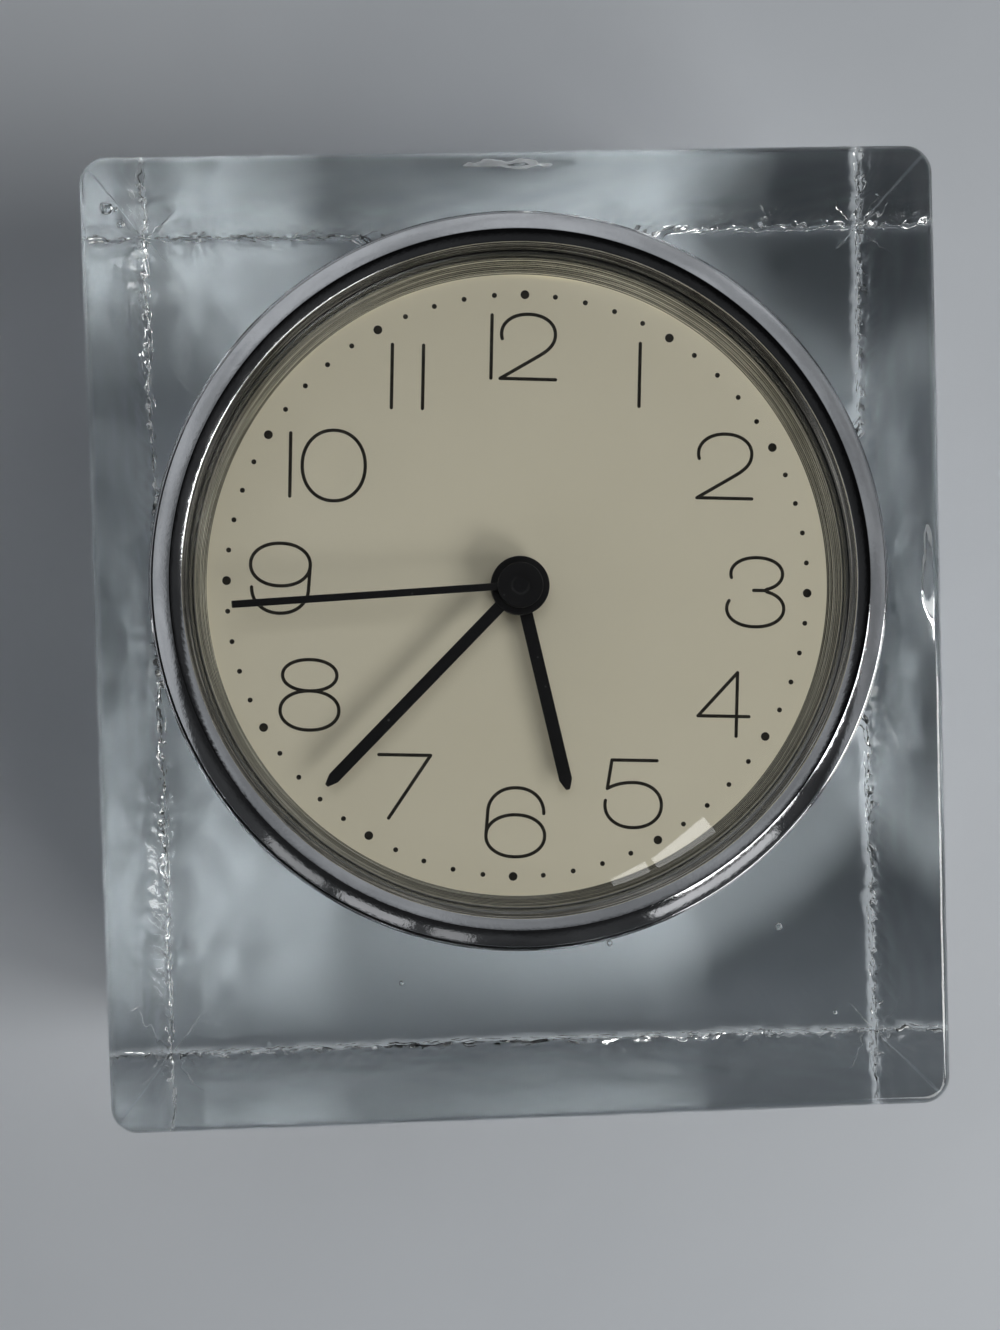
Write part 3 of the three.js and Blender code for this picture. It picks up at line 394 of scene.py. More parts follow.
def chrome_bezel():
    """A turned ring: lip on the glass, two cones that meet at a crest, a grooved wall and a skirt."""
    profile = [
        (SKIRT_OUTER, SKIRT_BACK), (SKIRT_OUTER, BEZEL_LIP_BACK), (BEZEL_RIM - 0.25, BEZEL_LIP_BACK),
        (BEZEL_RIM, BEZEL_LIP_BACK - 0.3), (BEZEL_RIM, BEZEL_LIP_FRONT + 0.5),
        (BEZEL_RIM - 0.45, BEZEL_LIP_FRONT), (CONE_FOOT + 0.05, BEZEL_LIP_FRONT - 0.05),
        (CONE_FOOT, CONE_FOOT_FRONT), (CREST_RADIUS, CREST_FRONT), (INNER_FOOT, INNER_FOOT_FRONT),
    ]
    wall_front = INNER_FOOT_FRONT + 0.35
    pitch = (SIGHT_BACK - wall_front) / SIGHT_GROOVES
    for groove in range(SIGHT_GROOVES):
        start = wall_front + groove * pitch
        profile += [(SIGHT_RADIUS, start), (SIGHT_RADIUS, start + 0.4 * pitch),
                    (SIGHT_RADIUS + SIGHT_GROOVE_DEPTH, start + 0.7 * pitch)]
    profile += [(SIGHT_RADIUS, SIGHT_BACK), (CRYSTAL_POCKET, SIGHT_BACK),
                (CRYSTAL_POCKET, CRYSTAL_POCKET_BACK), (SKIRT_INNER, CRYSTAL_POCKET_BACK),
                (SKIRT_INNER, SKIRT_BACK)]
    return make_mesh("chrome_bezel", *turned(eased(profile, 0.09, 3), 320), smooth_angle=35)


def domed_crystal():
    """Two parallel arcs of one sphere, joined by the rim, swung round the axis."""
    sphere = (CRYSTAL_RADIUS ** 2 + CRYSTAL_RISE ** 2) / (2 * CRYSTAL_RISE)
    radius = CRYSTAL_RADIUS * np.sin(np.linspace(0, np.pi / 2, 28))
    fall = sphere - np.sqrt(sphere ** 2 - radius ** 2)
    front = np.stack([radius, CRYSTAL_FRONT - CRYSTAL_RISE + fall], axis=-1)
    back = front[::-1] + [0, CRYSTAL_THICKNESS]
    return make_mesh("domed_crystal", *turned(np.vstack([front, back]), 192, closed=False))


def stepped_reflector():
    """A ring with a bead round its mouth, whose wall runs in to the throat in small grooved lands."""
    share = np.arange(REFLECTOR_LANDS + 1) / REFLECTOR_LANDS
    radius = REFLECTOR_MOUTH + (REFLECTOR_THROAT - REFLECTOR_MOUTH) * share
    first = REFLECTOR_FRONT + 2 * REFLECTOR_BEAD
    depth = first + (REFLECTOR_BACK - first) * share
    profile = [(REFLECTOR_OUTER, REFLECTOR_FRONT + 0.3), (REFLECTOR_OUTER - 0.3, REFLECTOR_FRONT)]
    for angle in np.radians(np.linspace(80, 260, 9)):
        profile.append((REFLECTOR_MOUTH + REFLECTOR_BEAD * math.cos(angle),
                        REFLECTOR_FRONT + 0.13 - REFLECTOR_BEAD * math.sin(angle)))
    for index in range(REFLECTOR_LANDS):
        pitch = depth[index + 1] - depth[index]
        profile += [(radius[index], depth[index]), (radius[index], depth[index] + 0.62 * pitch),
                    (radius[index] + 0.09, depth[index] + 0.78 * pitch),
                    (radius[index] - 0.01, depth[index] + 0.94 * pitch)]
    profile += [(REFLECTOR_THROAT, REFLECTOR_BACK), (REFLECTOR_OUTER, REFLECTOR_BACK)]
    return make_mesh("stepped_reflector", *turned(eased(profile, 0.05, 2), 288), smooth_angle=35)


def cream_dial():
    """A flat disc with a centre hole and softened edges."""
    back = DIAL_FACE + DIAL_THICKNESS
    profile = [(DIAL_HOLE, DIAL_FACE), (DIAL_RADIUS / 2, DIAL_FACE), (DIAL_RADIUS, DIAL_FACE),
               (DIAL_RADIUS, back), (DIAL_HOLE, back)]
    return make_mesh("cream_dial", *turned(eased(profile, 0.1, 3), 192))


# Print on the dial: each numeral is a few round-ended strokes

def arc(x, y, across, up, start, end):
    """Part of an oval a little squarer than an ellipse: (a cos^(2/n), b sin^(2/n)), where n is 2.1."""
    angle = np.radians(np.linspace(start, end, 44))
    cosine, sine = np.cos(angle), np.sin(angle)
    power = 2 / 2.1
    return np.stack([x + across * np.sign(cosine) * np.abs(cosine) ** power,
                     y + up * np.sign(sine) * np.abs(sine) ** power], axis=-1)


def straight(*corners):
    """Points along straight lines between the corners."""
    corners = np.array(corners, float)
    share = np.linspace(0, 1, 9)[:, None]
    return np.vstack([start + (end - start) * share for start, end in zip(corners, corners[1:])])


def bend(*handles):
    """A cubic curve from the first handle to the last."""
    a, b, c, d = np.array(handles, float)
    share = np.linspace(0, 1, 20)[:, None]
    return ((1 - share) ** 3 * a + 3 * share * (1 - share) ** 2 * b
            + 3 * share ** 2 * (1 - share) * c + share ** 3 * d)


def figure_strokes():
    """The strokes of each figure in mm about its middle, 9.2 mm high with round ones a little taller."""
    two_bowl = np.vstack([
        arc(0.05, 1.95, 3.95, 2.9, 194, -2), bend((4.0, 1.85), (3.95, 0.1), (2.3, -0.75), (1.3, -1.4)),
        straight((1.3, -1.4), (-4.0, -4.6)),
    ])
    five_bowl = np.vstack([
        bend((-3.7, 0.6), (-2.5, 1.3), (-1.2, 1.55), (0.2, 1.55)), arc(0.2, -1.8, 4.2, 3.35, 90, -190),
    ])
    six = [
        arc(0.2, -1.97, 4.35, 3.12, 0, 360),
        np.vstack([arc(0.2, 1.4, 4.15, 3.75, 0, 180), straight((-3.95, 1.4), (-4.15, -1.97))]),
    ]
    return {
        "0": [arc(-0.12, 0, 4.6, 5.15, 0, 360)],
        "1": [straight((0, -4.6), (0, 4.6))],
        "2": [two_bowl, straight((-4.0, -4.6), (4.15, -4.6))],
        "3": [arc(0.1, 2.67, 3.85, 2.42, 193, -68), straight((-0.3, 0.25), (1.6, 0.25)),
              arc(0.0, -2.45, 4.25, 2.7, 68, -203)],
        "4": [straight((1.85, -4.7), (1.85, 4.75)), straight((1.85, 4.75), (-3.9, -1.75)),
              straight((-3.9, -1.75), (3.7, -1.75))],
        "5": [straight((3.6, 4.85), (-3.1, 4.85)), straight((-3.1, 4.85), (-3.7, 0.6)), five_bowl],
        "6": six,
        "7": [straight((-3.5, 4.8), (4.1, 4.8)), straight((4.1, 4.8), (-1.9, -4.55))],
        "8": [arc(-0.05, 2.9, 3.97, 2.3, 0, 360), arc(0, -2.28, 4.3, 2.88, 0, 360)],
        "9": [-stroke for stroke in six],
    }


# Hour, radius of the numeral's middle, and each figure with its shift to the right
NUMERALS = [
    (0, 35.1, (("1", -4.75), ("2", 0.6))), (0.95, 35.9, (("1", 0),)), (1.95, 35.1, (("2", 0.1),)),
    (3, 35.1, (("3", 0),)), (3.95, 35.1, (("4", 0),)), (5, 34.8, (("5", 0),)), (6, 34.8, (("6", 0),)),
    (6.97, 34.2, (("7", 0),)), (8.05, 34.6, (("8", 0),)), (9.03, 34.8, (("9", 0),)),
    (10.03, 33.4, (("1", -5.15), ("0", 1.3))), (11.02, 34.9, (("1", -2.1), ("1", 2.45))),
]


def inked_stroke(path):
    """A flat oval section carried along the path, drawn in to a half circle at both ends."""
    half_width = STROKE_WIDTH / 2
    step = np.linalg.norm(np.diff(path, axis=0), axis=1)
    path = path[np.concatenate([[True], step > 1e-4])]
    closed = np.linalg.norm(path[0] - path[-1]) < 1e-3
    if closed:
        path = path[:-1]
        along = np.roll(path, -1, axis=0) - np.roll(path, 1, axis=0)
        share = np.ones(len(path))
    else:
        lead, trail = path[1] - path[0], path[-1] - path[-2]
        lead, trail = lead / np.linalg.norm(lead), trail / np.linalg.norm(trail)
        swell = np.sin(np.linspace(0.06, 1, 6) * np.pi / 2)
        reach = half_width * np.sqrt(1 - swell ** 2)[:, None]
        path = np.vstack([path[0] - lead * reach, path[1:-1], (path[-1] + trail * reach)[::-1]])
        share = np.concatenate([swell, np.ones(len(path) - 2 * len(swell)), swell[::-1]])
        along = np.gradient(path, axis=0)
    along /= np.linalg.norm(along, axis=1, keepdims=True)
    across = np.stack([-along[:, 1], along[:, 0]], axis=-1)
    angle = np.linspace(0, 2 * np.pi, STROKE_SIDES, endpoint=False)
    flat = path[:, None] + np.cos(angle)[None, :, None] * across[:, None] * share[:, None, None] * half_width
    depth = DIAL_FACE - INK_THICKNESS * (0.5 + 0.5 * np.sin(angle)[None, :] * share[:, None])
    points = in_insert(flat[..., 0], flat[..., 1], depth).reshape(-1, 3)
    if closed:
        return points, grid_faces(len(path), STROKE_SIDES, True, True)
    return points, capped_tube(len(path), STROKE_SIDES)


def inked_dot(x, y, radius):
    """A low dome: circles that shrink as they rise to the middle."""
    rise = np.array([0.0, 0.6, 1.0])[:, None]
    circle = radius * np.array([1.0, 0.93, 0.7])[:, None]
    angle = np.linspace(0, 2 * np.pi, DOT_POINTS, endpoint=False)
    points = in_insert(x + circle * np.cos(angle), y + circle * np.sin(angle),
                       DIAL_FACE - INK_THICKNESS * rise)
    return points.reshape(-1, 3), capped_tube(len(circle), DOT_POINTS)


def dial_print():
    figures = figure_strokes()
    parts = []
    for hour, radius, shifts in NUMERALS:
        angle = math.radians(30 * hour)
        middle = np.array([radius * math.sin(angle), radius * math.cos(angle)])
        for figure, shift in shifts:
            parts += [inked_stroke(stroke + middle + [shift, 0]) for stroke in figures[figure]]
    for minute in range(60):
        angle = math.radians(6 * minute)
        size = HOUR_DOT_RADIUS if minute % 5 == 0 else MINUTE_DOT_RADIUS
        parts.append(inked_dot(DOT_CIRCLE * math.sin(angle), DOT_CIRCLE * math.cos(angle), size))
    return make_mesh("dial_print", *combined(*parts))


# Hands

def blade(length, width, front, tip):
    """A soft-edged flat section carried up from the hub and drawn in over the tip."""
    half_width, half_thick = width / 2, BLADE_THICKNESS / 2
    section = eased([(-half_width, -half_thick), (half_width, -half_thick),
                     (half_width, half_thick), (-half_width, half_thick)], BLADE_EASE, 3)
    if tip:
        reach = np.array([0.0, length - tip, length - tip / 2, length - BLADE_EASE, length])
        share = np.array([1.0, 1.0, 0.67, 0.36, 0.26])
    else:
        reach = np.array([0.0, length - BLADE_EASE, length])
        share = np.array([1.0, 1.0, 0.86])
    thin = np.where(reach >= length, 0.5, 1.0)
    across = section[None, :, 0] * share[:, None]
    up = np.repeat(reach[:, None], len(section), axis=1)
    depth = front + half_thick + section[None, :, 1] * thin[:, None]
    points = np.stack([across, up, depth], axis=-1).reshape(-1, 3)
    return points, capped_tube(len(reach), len(section))


def hub(radius, front, back, bore):
    """A turned hub: bored through, or closed with a shallow dimple in front."""
    if bore > 0:
        outline = [(bore, front), (radius, front), (radius, back), (bore, back)]
    else:
        outline = [(0.0, front + 0.25), (1.1, front + 0.25), (1.35, front),
                   (radius, front), (radius, back), (0.0, back)]
    profile = eased(outline, HUB_EASE, 4)
    profile[:, 0] = np.maximum(profile[:, 0], 0)
    return swung(profile, 96), grid_faces(96, len(profile), True, True)


def hand(name):
    """A blade and its hub, turned clockwise to the hand's angle."""
    size = HANDS[name]
    points, faces = combined(
        blade(size["length"], size["width"], size["blade_front"], size["tip"]),
        hub(size["hub_radius"], size["hub_front"], size["hub_back"], size["bore"]))
    across, up, depth = points.T
    cosine, sine = math.cos(math.radians(size["angle"])), math.sin(math.radians(size["angle"]))
    placed = in_insert(across * cosine + up * sine, up * cosine - across * sine, depth)
    return make_mesh("black_" + name, placed, faces, smooth_angle=35)


# Pieces that keep their CAD shape, with doubles merged, smooth faces and softened edges

def finished_copy(node, edge):
    mesh = frame["nodes"][node].data.copy()
    shape = bmesh.new()
    shape.from_mesh(mesh)
    bmesh.ops.remove_doubles(shape, verts=shape.verts, dist=1e-6)
    shape.to_mesh(mesh)
    shape.free()
    if "custom_normal" in mesh.attributes:
        mesh.attributes.remove(mesh.attributes["custom_normal"])
    smoothed(mesh, 35)
    made = bpy.data.objects.new("finished_" + node, mesh)
    scene.collection.objects.link(made)
    soften = made.modifiers.new("softened edges", "BEVEL")
    soften.width = edge * MM
    soften.segments = 2
    soften.limit_method = "ANGLE"
    soften.angle_limit = math.radians(35)
    soften.use_clamp_overlap = True
    return made


# Finishes

class Finish:
    """A material's node tree with short ways to add the nodes that these finishes share."""

    def __init__(self, name):
        self.material = bpy.data.materials.new(name)
        self.material.use_nodes = True
        self.tree = self.material.node_tree
        self.shader = self.tree.nodes["Principled BSDF"]
        self.output = self.tree.nodes["Material Output"]
        self.place = self.add("ShaderNodeTexCoord").outputs["Object"]

    def add(self, kind, **settings):
        node = self.tree.nodes.new(kind)
        for key, value in settings.items():
            setattr(node, key, value)
        return node

    def link(self, source, target):
        self.tree.links.new(source, target)

    def set(self, **values):
        for key, value in values.items():
            self.shader.inputs[key.replace("_", " ")].default_value = value

    def moved(self, location=(0, 0, 0), rotation=(0, 0, 0), scale=(1, 1, 1)):
        mapping = self.add("ShaderNodeMapping")
        mapping.inputs["Location"].default_value = location
        mapping.inputs["Rotation"].default_value = rotation
        mapping.inputs["Scale"].default_value = scale
        self.link(self.place, mapping.inputs["Vector"])
        return mapping.outputs["Vector"]

    def noise(self, scale, detail=3.0, roughness=0.5, where=None, distortion=0.0):
        node = self.add("ShaderNodeTexNoise")
        node.inputs["Scale"].default_value = scale
        node.inputs["Detail"].default_value = detail
        node.inputs["Roughness"].default_value = roughness
        node.inputs["Distortion"].default_value = distortion
        self.link(where or self.place, node.inputs["Vector"])
        return node.outputs["Fac"]

    def ramp(self, source, *stops):
        """Colours or greys at positions along the source's value."""
        node = self.add("ShaderNodeValToRGB")
        elements = node.color_ramp.elements
        while len(elements) < len(stops):
            elements.new(1.0)
        for element, (position, colour) in zip(elements, stops):
            element.position = position
            grey = isinstance(colour, (int, float))
            element.color = (colour, colour, colour, 1) if grey else (*colour, 1)
        self.link(source, node.inputs["Fac"])
        return node.outputs["Color"]

    def span(self, source, low, high, start=0.0, end=1.0):
        """The source from start to end mapped to run from low to high, and held beyond them."""
        node = self.add("ShaderNodeMapRange")
        node.inputs["From Min"].default_value = start
        node.inputs["From Max"].default_value = end
        node.inputs["To Min"].default_value = low
        node.inputs["To Max"].default_value = high
        self.link(source, node.inputs["Value"])
        return node.outputs["Result"]

    def mix(self, factor, first, second, blend="MIX"):
        """Two colours mixed by a factor, each given as a value or as another node's output."""
        node = self.add("ShaderNodeMix", data_type="RGBA", blend_type=blend)
        for socket, value in ((node.inputs[0], factor), (node.inputs[6], first), (node.inputs[7], second)):
            if isinstance(value, bpy.types.NodeSocket):
                self.link(value, socket)
            else:
                socket.default_value = value if isinstance(value, (int, float)) else (*value, 1)
        return node.outputs[2]

    def measured(self, operation, source, vector=(0, 1, 0)):
        """One number from a vector: its length, or its reach along another vector."""
        node = self.add("ShaderNodeVectorMath", operation=operation)
        node.inputs[1].default_value = vector
        self.link(source, node.inputs[0])
        return node.outputs["Value"]

    def from_axis(self):
        """The distance in metres from the insert's axis."""
        centred = self.moved(location=(-BORE_CENTRE[0] * MM, 0, -BORE_CENTRE[1] * MM), scale=(1, 0, 1))
        return self.measured("LENGTH", centred)

    def at_depth(self, depth, low, high, width=0.15):
        """From low to high over a short way back from a depth behind the block's front face, in mm."""
        along = self.measured("DOT_PRODUCT", self.place)
        start = (BLOCK_FRONT + depth) * MM
        return self.span(along, low, high, start, start + width * MM)

    def product(self, first, second):
        node = self.add("ShaderNodeMath", operation="MULTIPLY")
        self.link(first, node.inputs[0])
        self.link(second, node.inputs[1])
        return node.outputs["Value"]

    def depth_rings(self, scale):
        """Noise that changes quickly with depth and slowly round the insert, for fine turned lines."""
        return self.noise(scale, 3.0, 0.6, where=self.moved(scale=(0.02, 1.0, 0.02)))

    def bump(self, source, distance, strength, under=None):
        node = self.add("ShaderNodeBump")
        node.inputs["Distance"].default_value = distance * MM
        node.inputs["Strength"].default_value = strength
        self.link(source, node.inputs["Height"])
        if under is not None:
            self.link(under, node.inputs["Normal"])
        return node.outputs["Normal"]

    def wear(self, colour=None, roughness=None, normal=None):
        for source, socket in ((colour, "Base Color"), (roughness, "Roughness"), (normal, "Normal")):
            if source is not None:
                self.link(source, self.shader.inputs[socket])


def cast_glass():
    finish = Finish("cast_glass")
    finish.set(Base_Color=(0.9, 0.93, 0.935, 1), Roughness=0.0, IOR=1.5, Transmission_Weight=1.0)
    slow = finish.noise(38.0, 2.0, 0.4)
    streak = finish.noise(130.0, 3.0, 0.55, where=finish.moved(scale=(1.0, 0.35, 0.6)))
    normal = finish.bump(slow, 0.5, 0.25)
    finish.wear(normal=finish.bump(streak, 0.16, 0.4, under=normal))
    return finish.material


def clear_crystal():
    finish = Finish("clear_crystal")
    finish.set(Base_Color=(0.985, 0.99, 0.985, 1), Roughness=0.0, IOR=1.49, Transmission_Weight=1.0)
    return finish.material


def chrome():
    """Bright plating, finely ringed on the wall behind the inner cone, where painted shade darkens it."""
    finish = Finish("chrome")
    finish.set(Metallic=1.0)
    stain = finish.noise(220.0, 4.0, 0.6)
    bright = finish.ramp(stain, (0.3, (0.54, 0.55, 0.57)), (0.7, (0.62, 0.63, 0.65)))
    # Painted shade: the wall behind the inner cone is darkened nearly to black, with fine turned rings in
    # it.
    ringed_painted_shade = finish.ramp(finish.depth_rings(2600.0), (0.34, (0.07, 0.07, 0.07)), (0.5, (0.14, 0.14, 0.14)),
                       (0.66, (0.5, 0.5, 0.51)))
    wall = finish.span(finish.from_axis(), 1.0, 0.0, (SIGHT_RADIUS + 0.06) * MM, (SIGHT_RADIUS + 0.16) * MM)
    behind = finish.at_depth(INNER_FOOT_FRONT + 0.1, 0.0, 1.0)
    finish.wear(colour=finish.mix(finish.product(wall, behind), bright, ringed_painted_shade),
                roughness=finish.span(finish.noise(400.0, 3.0), 0.03, 0.11),
                normal=finish.bump(finish.noise(1300.0, 3.0, 0.6), 0.03, 0.5))
    return finish.material


def turned_reflector():
    """Fine turned lines, with painted shade that darkens them towards the lower right, behind a plain bead.
    """
    finish = Finish("turned_reflector")
    finish.set(Metallic=1.0)
    lines = finish.depth_rings(1800.0)
    tone = finish.ramp(lines, (0.34, (0.24, 0.24, 0.22)), (0.5, (0.45, 0.45, 0.425)),
                       (0.64, (0.9, 0.9, 0.87)))
    # Painted shade: the tone is multiplied down from 1.08 at the upper left to 0.3 at the lower right.
    centred = finish.moved(location=(-BORE_CENTRE[0] * MM, 0, -BORE_CENTRE[1] * MM))
    upwards = finish.measured("DOT_PRODUCT", centred, (-0.45, 0, 0.89))
    shade = finish.span(upwards, 0.3, 1.08, -46 * MM, 20 * MM)
    tone = finish.mix(1.0, tone, shade, "MULTIPLY")
    bead = finish.at_depth(REFLECTOR_FRONT + 0.3, 1.0, 0.0)
    finish.wear(colour=finish.mix(bead, tone, (0.45, 0.45, 0.44)), roughness=finish.span(lines, 0.16, 0.32),
                normal=finish.bump(lines, 0.015, 0.3))
    return finish.material


def cream_paint():
    finish = Finish("cream_paint")
    finish.set(Coat_Weight=0.15, Coat_Roughness=0.3)
    cloud = finish.ramp(finish.noise(24.0, 4.0, 0.55),
                        (0.3, (0.71, 0.665, 0.52)), (0.7, (0.745, 0.70, 0.555)))
    speck = finish.ramp(finish.noise(2600.0, 2.0, 0.6), (0.72, 1.0), (0.78, 0.86))
    finish.wear(colour=finish.mix(1.0, cloud, speck, "MULTIPLY"),
                roughness=finish.span(finish.noise(300.0, 3.0), 0.42, 0.6),
                normal=finish.bump(finish.noise(1800.0, 3.0), 0.01, 0.3))
    return finish.material


def hand_black():
    """Black paint with specks of dust and fine scratches."""
    finish = Finish("hand_black")
    finish.set(Specular_IOR_Level=0.45)
    cells = finish.add("ShaderNodeTexVoronoi", distance="EUCLIDEAN")
    cells.inputs["Scale"].default_value = 260.0
    finish.link(finish.place, cells.inputs["Vector"])
    dust = finish.ramp(cells.outputs["Distance"], (0.02, (0.10, 0.10, 0.10)), (0.06, (0.012, 0.012, 0.013)))
    scratch = finish.noise(900.0, 4.0, 0.7, where=finish.moved(rotation=(0, 0.7, 0), scale=(1, 1, 0.06)))
    finish.wear(colour=dust, roughness=finish.span(scratch, 0.22, 0.55),
                normal=finish.bump(scratch, 0.01, 0.4))
    return finish.material


def dial_ink():
    finish = Finish("dial_ink")
    tone = finish.ramp(finish.noise(900.0, 3.0), (0.3, (0.013, 0.012, 0.010)), (0.75, (0.035, 0.032, 0.026)))
    finish.wear(colour=tone, roughness=finish.span(finish.noise(500.0, 2.0), 0.45, 0.65))
    return finish.material


def moulded(name, dark, light, low, high, grain=0.03, fine=2200.0):
    """Injection moulded plastic: a slight change of tone, fine spark grain and uneven gloss."""
    finish = Finish(name)
    finish.wear(colour=finish.ramp(finish.noise(160.0, 4.0, 0.6), (0.3, dark), (0.7, light)),
                roughness=finish.span(finish.noise(420.0, 3.0), low, high),
                normal=finish.bump(finish.noise(fine, 3.0, 0.6), grain, 0.5))
    return finish.material


def worked_metal(name, dark, light, low, high):
    """Metal with fine upright tool lines and a slight change of tone."""
    finish = Finish(name)
    finish.set(Metallic=1.0)
    lines = finish.noise(1400.0, 3.0, 0.6, where=finish.moved(scale=(1, 1, 0.05)))
    finish.wear(colour=finish.ramp(finish.noise(240.0, 4.0), (0.3, dark), (0.7, light)),
                roughness=finish.span(lines, low, high), normal=finish.bump(lines, 0.012, 0.5))
    return finish.material


def enamelled_wire():
    """Copper wire wound side by side: a wave across the coil gives its turns."""
    finish = Finish("enamelled_wire")
    finish.set(Metallic=1.0, Coat_Weight=0.6, Coat_Roughness=0.1)
    turns = finish.add("ShaderNodeTexWave", wave_type="BANDS", bands_direction="X", wave_profile="SIN")
    turns.inputs["Scale"].default_value = 2200.0
    turns.inputs["Distortion"].default_value = 0.4
    finish.link(finish.moved(rotation=(0, INSERT_TURN, 0)), turns.inputs["Vector"])
    finish.wear(colour=finish.ramp(finish.noise(300.0), (0.3, (0.5, 0.17, 0.07)), (0.7, (0.66, 0.26, 0.11))),
                roughness=finish.span(turns.outputs["Fac"], 0.25, 0.42),
                normal=finish.bump(turns.outputs["Fac"], 0.05, 0.6))
    return finish.material


def fibre_board():
    finish = Finish("fibre_board")
    weave = finish.add("ShaderNodeTexChecker")
    weave.inputs["Scale"].default_value = 1800.0
    finish.link(finish.place, weave.inputs["Vector"])
    cloud = finish.ramp(finish.noise(200.0, 3.0), (0.3, (0.34, 0.21, 0.075)), (0.7, (0.42, 0.28, 0.11)))
    finish.wear(colour=cloud, roughness=finish.span(finish.noise(500.0), 0.4, 0.6),
                normal=finish.bump(weave.outputs["Fac"], 0.02, 0.4))
    return finish.material


FINISHES = {
    "glass": cast_glass(),
    "crystal": clear_crystal(),
    "chrome": chrome(),
    "reflector": turned_reflector(),
    "cream": cream_paint(),
    "black": hand_black(),
    "ink": dial_ink(),
    "dark_plastic": moulded("dark_plastic", (0.012, 0.012, 0.013), (0.02, 0.02, 0.021), 0.38, 0.52),
    "grey_plastic": moulded("grey_plastic", (0.085, 0.088, 0.092), (0.11, 0.113, 0.117), 0.4, 0.52),
    "natural_plastic": moulded("natural_plastic", (0.68, 0.66, 0.58), (0.76, 0.745, 0.67), 0.3, 0.42, 0.01),
    "rubber": moulded("rubber", (0.01, 0.01, 0.01), (0.017, 0.017, 0.017), 0.7, 0.85, 0.05, 1500.0),
    "cell": worked_metal("cell", (0.28, 0.29, 0.3), (0.38, 0.39, 0.4), 0.22, 0.34),
    "steel": worked_metal("steel", (0.5, 0.5, 0.51), (0.62, 0.62, 0.63), 0.2, 0.34),
    "brass": worked_metal("brass", (0.56, 0.38, 0.13), (0.68, 0.49, 0.2), 0.2, 0.32),
    "copper": enamelled_wire(),
    "board": fibre_board(),
}

# The visible pieces
place(cast_block(), "glass_block", FINISHES["glass"])
place(chrome_bezel(), "bezel", FINISHES["chrome"])
place(domed_crystal(), "crystal", FINISHES["crystal"])
place(stepped_reflector(), "reflector_ring", FINISHES["reflector"])
place(cream_dial(), "dial", FINISHES["cream"])
for hand_name in HANDS:
    place(hand(hand_name), hand_name, FINISHES["black"])

printed = dial_print()
printed.data.materials.append(FINISHES["ink"])
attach(printed, body_with("dial"))

# Everything else keeps its shape, with the edge in mm that its maker would leave on it
SOFTENED = {
    "drum": ("dark_plastic", 0.25), "back_cover": ("dark_plastic", 0.25),
    "battery_lid": ("dark_plastic", 0.15), "setting_knob": ("dark_plastic", 0.12),
    "battery_tray": ("dark_plastic", 0.15), "grip_ring": ("rubber", 0.1), "battery": ("cell", 0.15),
    "plus_contact": ("steel", 0.08), "minus_contact": ("steel", 0.08),
    "movement_case": ("grey_plastic", 0.15), "movement_back": ("grey_plastic", 0.15),
    "bridge_plate": ("natural_plastic", 0.1), "rotor": ("steel", 0.04),
    "intermediate_wheel": ("natural_plastic", 0.03), "third_wheel": ("natural_plastic", 0.03),
    "centre_wheel": ("natural_plastic", 0.03), "clutch_spring": ("brass", 0.04),
    "seconds_wheel": ("natural_plastic", 0.03), "cannon_pinion": ("brass", 0.04),
    "hour_wheel": ("natural_plastic", 0.03), "motion_wheel": ("natural_plastic", 0.03),
    "stator": ("steel", 0.08), "coil_core": ("steel", 0.06), "coil_bobbin": ("natural_plastic", 0.06),
    "coil_winding": ("copper", 0.1), "circuit_board": ("board", 0.06), "crystal_can": ("steel", 0.08),
    "control_chip": ("black", 0.08),
}
for group, count in (("cover_screw", 3), ("case_screw", 3), ("ear_screw", 2)):
    for number in range(1, count + 1):
        SOFTENED[f"{group}_{number}"] = ("steel", 0.08)
for node, (slot, edge) in SOFTENED.items():
    place(finished_copy(node, edge), node, FINISHES[slot])


# Camera, at the photograph's place: the clock is seen square on, a little turned
camera_data = bpy.data.cameras.new("camera")
camera_data.sensor_width = 36.0
camera_data.lens = 27.07
camera = bpy.data.objects.new("camera", camera_data)
camera.location = Vector((-6.79, -162.82, 67.31)) * MM
camera.rotation_euler = Euler([math.radians(angle) for angle in (89.01, 1.548, -1.453)], "XYZ")
scene.collection.objects.link(camera)
scene.camera = camera

# The surface on which the clock lies with its back, and how far it reaches each way
SURFACE_DEPTH = BLOCK_BACK + 0.1
SURFACE_REACH = 1500.0


def pale_surface():
    """A matt pale paint, seen from its front side only, which throws no shadow."""
    finish = Finish("pale_surface")
    tone = finish.ramp(finish.noise(9.0, 5.0, 0.5, distortion=0.6),
                       (0.35, (0.62, 0.655, 0.70)), (0.65, (0.66, 0.695, 0.74)))
    finish.wear(colour=tone, roughness=finish.span(finish.noise(60.0), 0.6, 0.75))
    clear = finish.add("ShaderNodeBsdfTransparent")
    geometry = finish.add("ShaderNodeNewGeometry")
    path = finish.add("ShaderNodeLightPath")
    either = finish.add("ShaderNodeMath", operation="MAXIMUM")
    finish.link(geometry.outputs["Backfacing"], either.inputs[0])
    finish.link(path.outputs["Is Shadow Ray"], either.inputs[1])
    blend = finish.add("ShaderNodeMixShader")
    finish.link(either.outputs["Value"], blend.inputs["Fac"])
    finish.link(finish.shader.outputs["BSDF"], blend.inputs[1])
    finish.link(clear.outputs["BSDF"], blend.inputs[2])
    finish.link(blend.outputs["Shader"], finish.output.inputs["Surface"])
    return finish.material


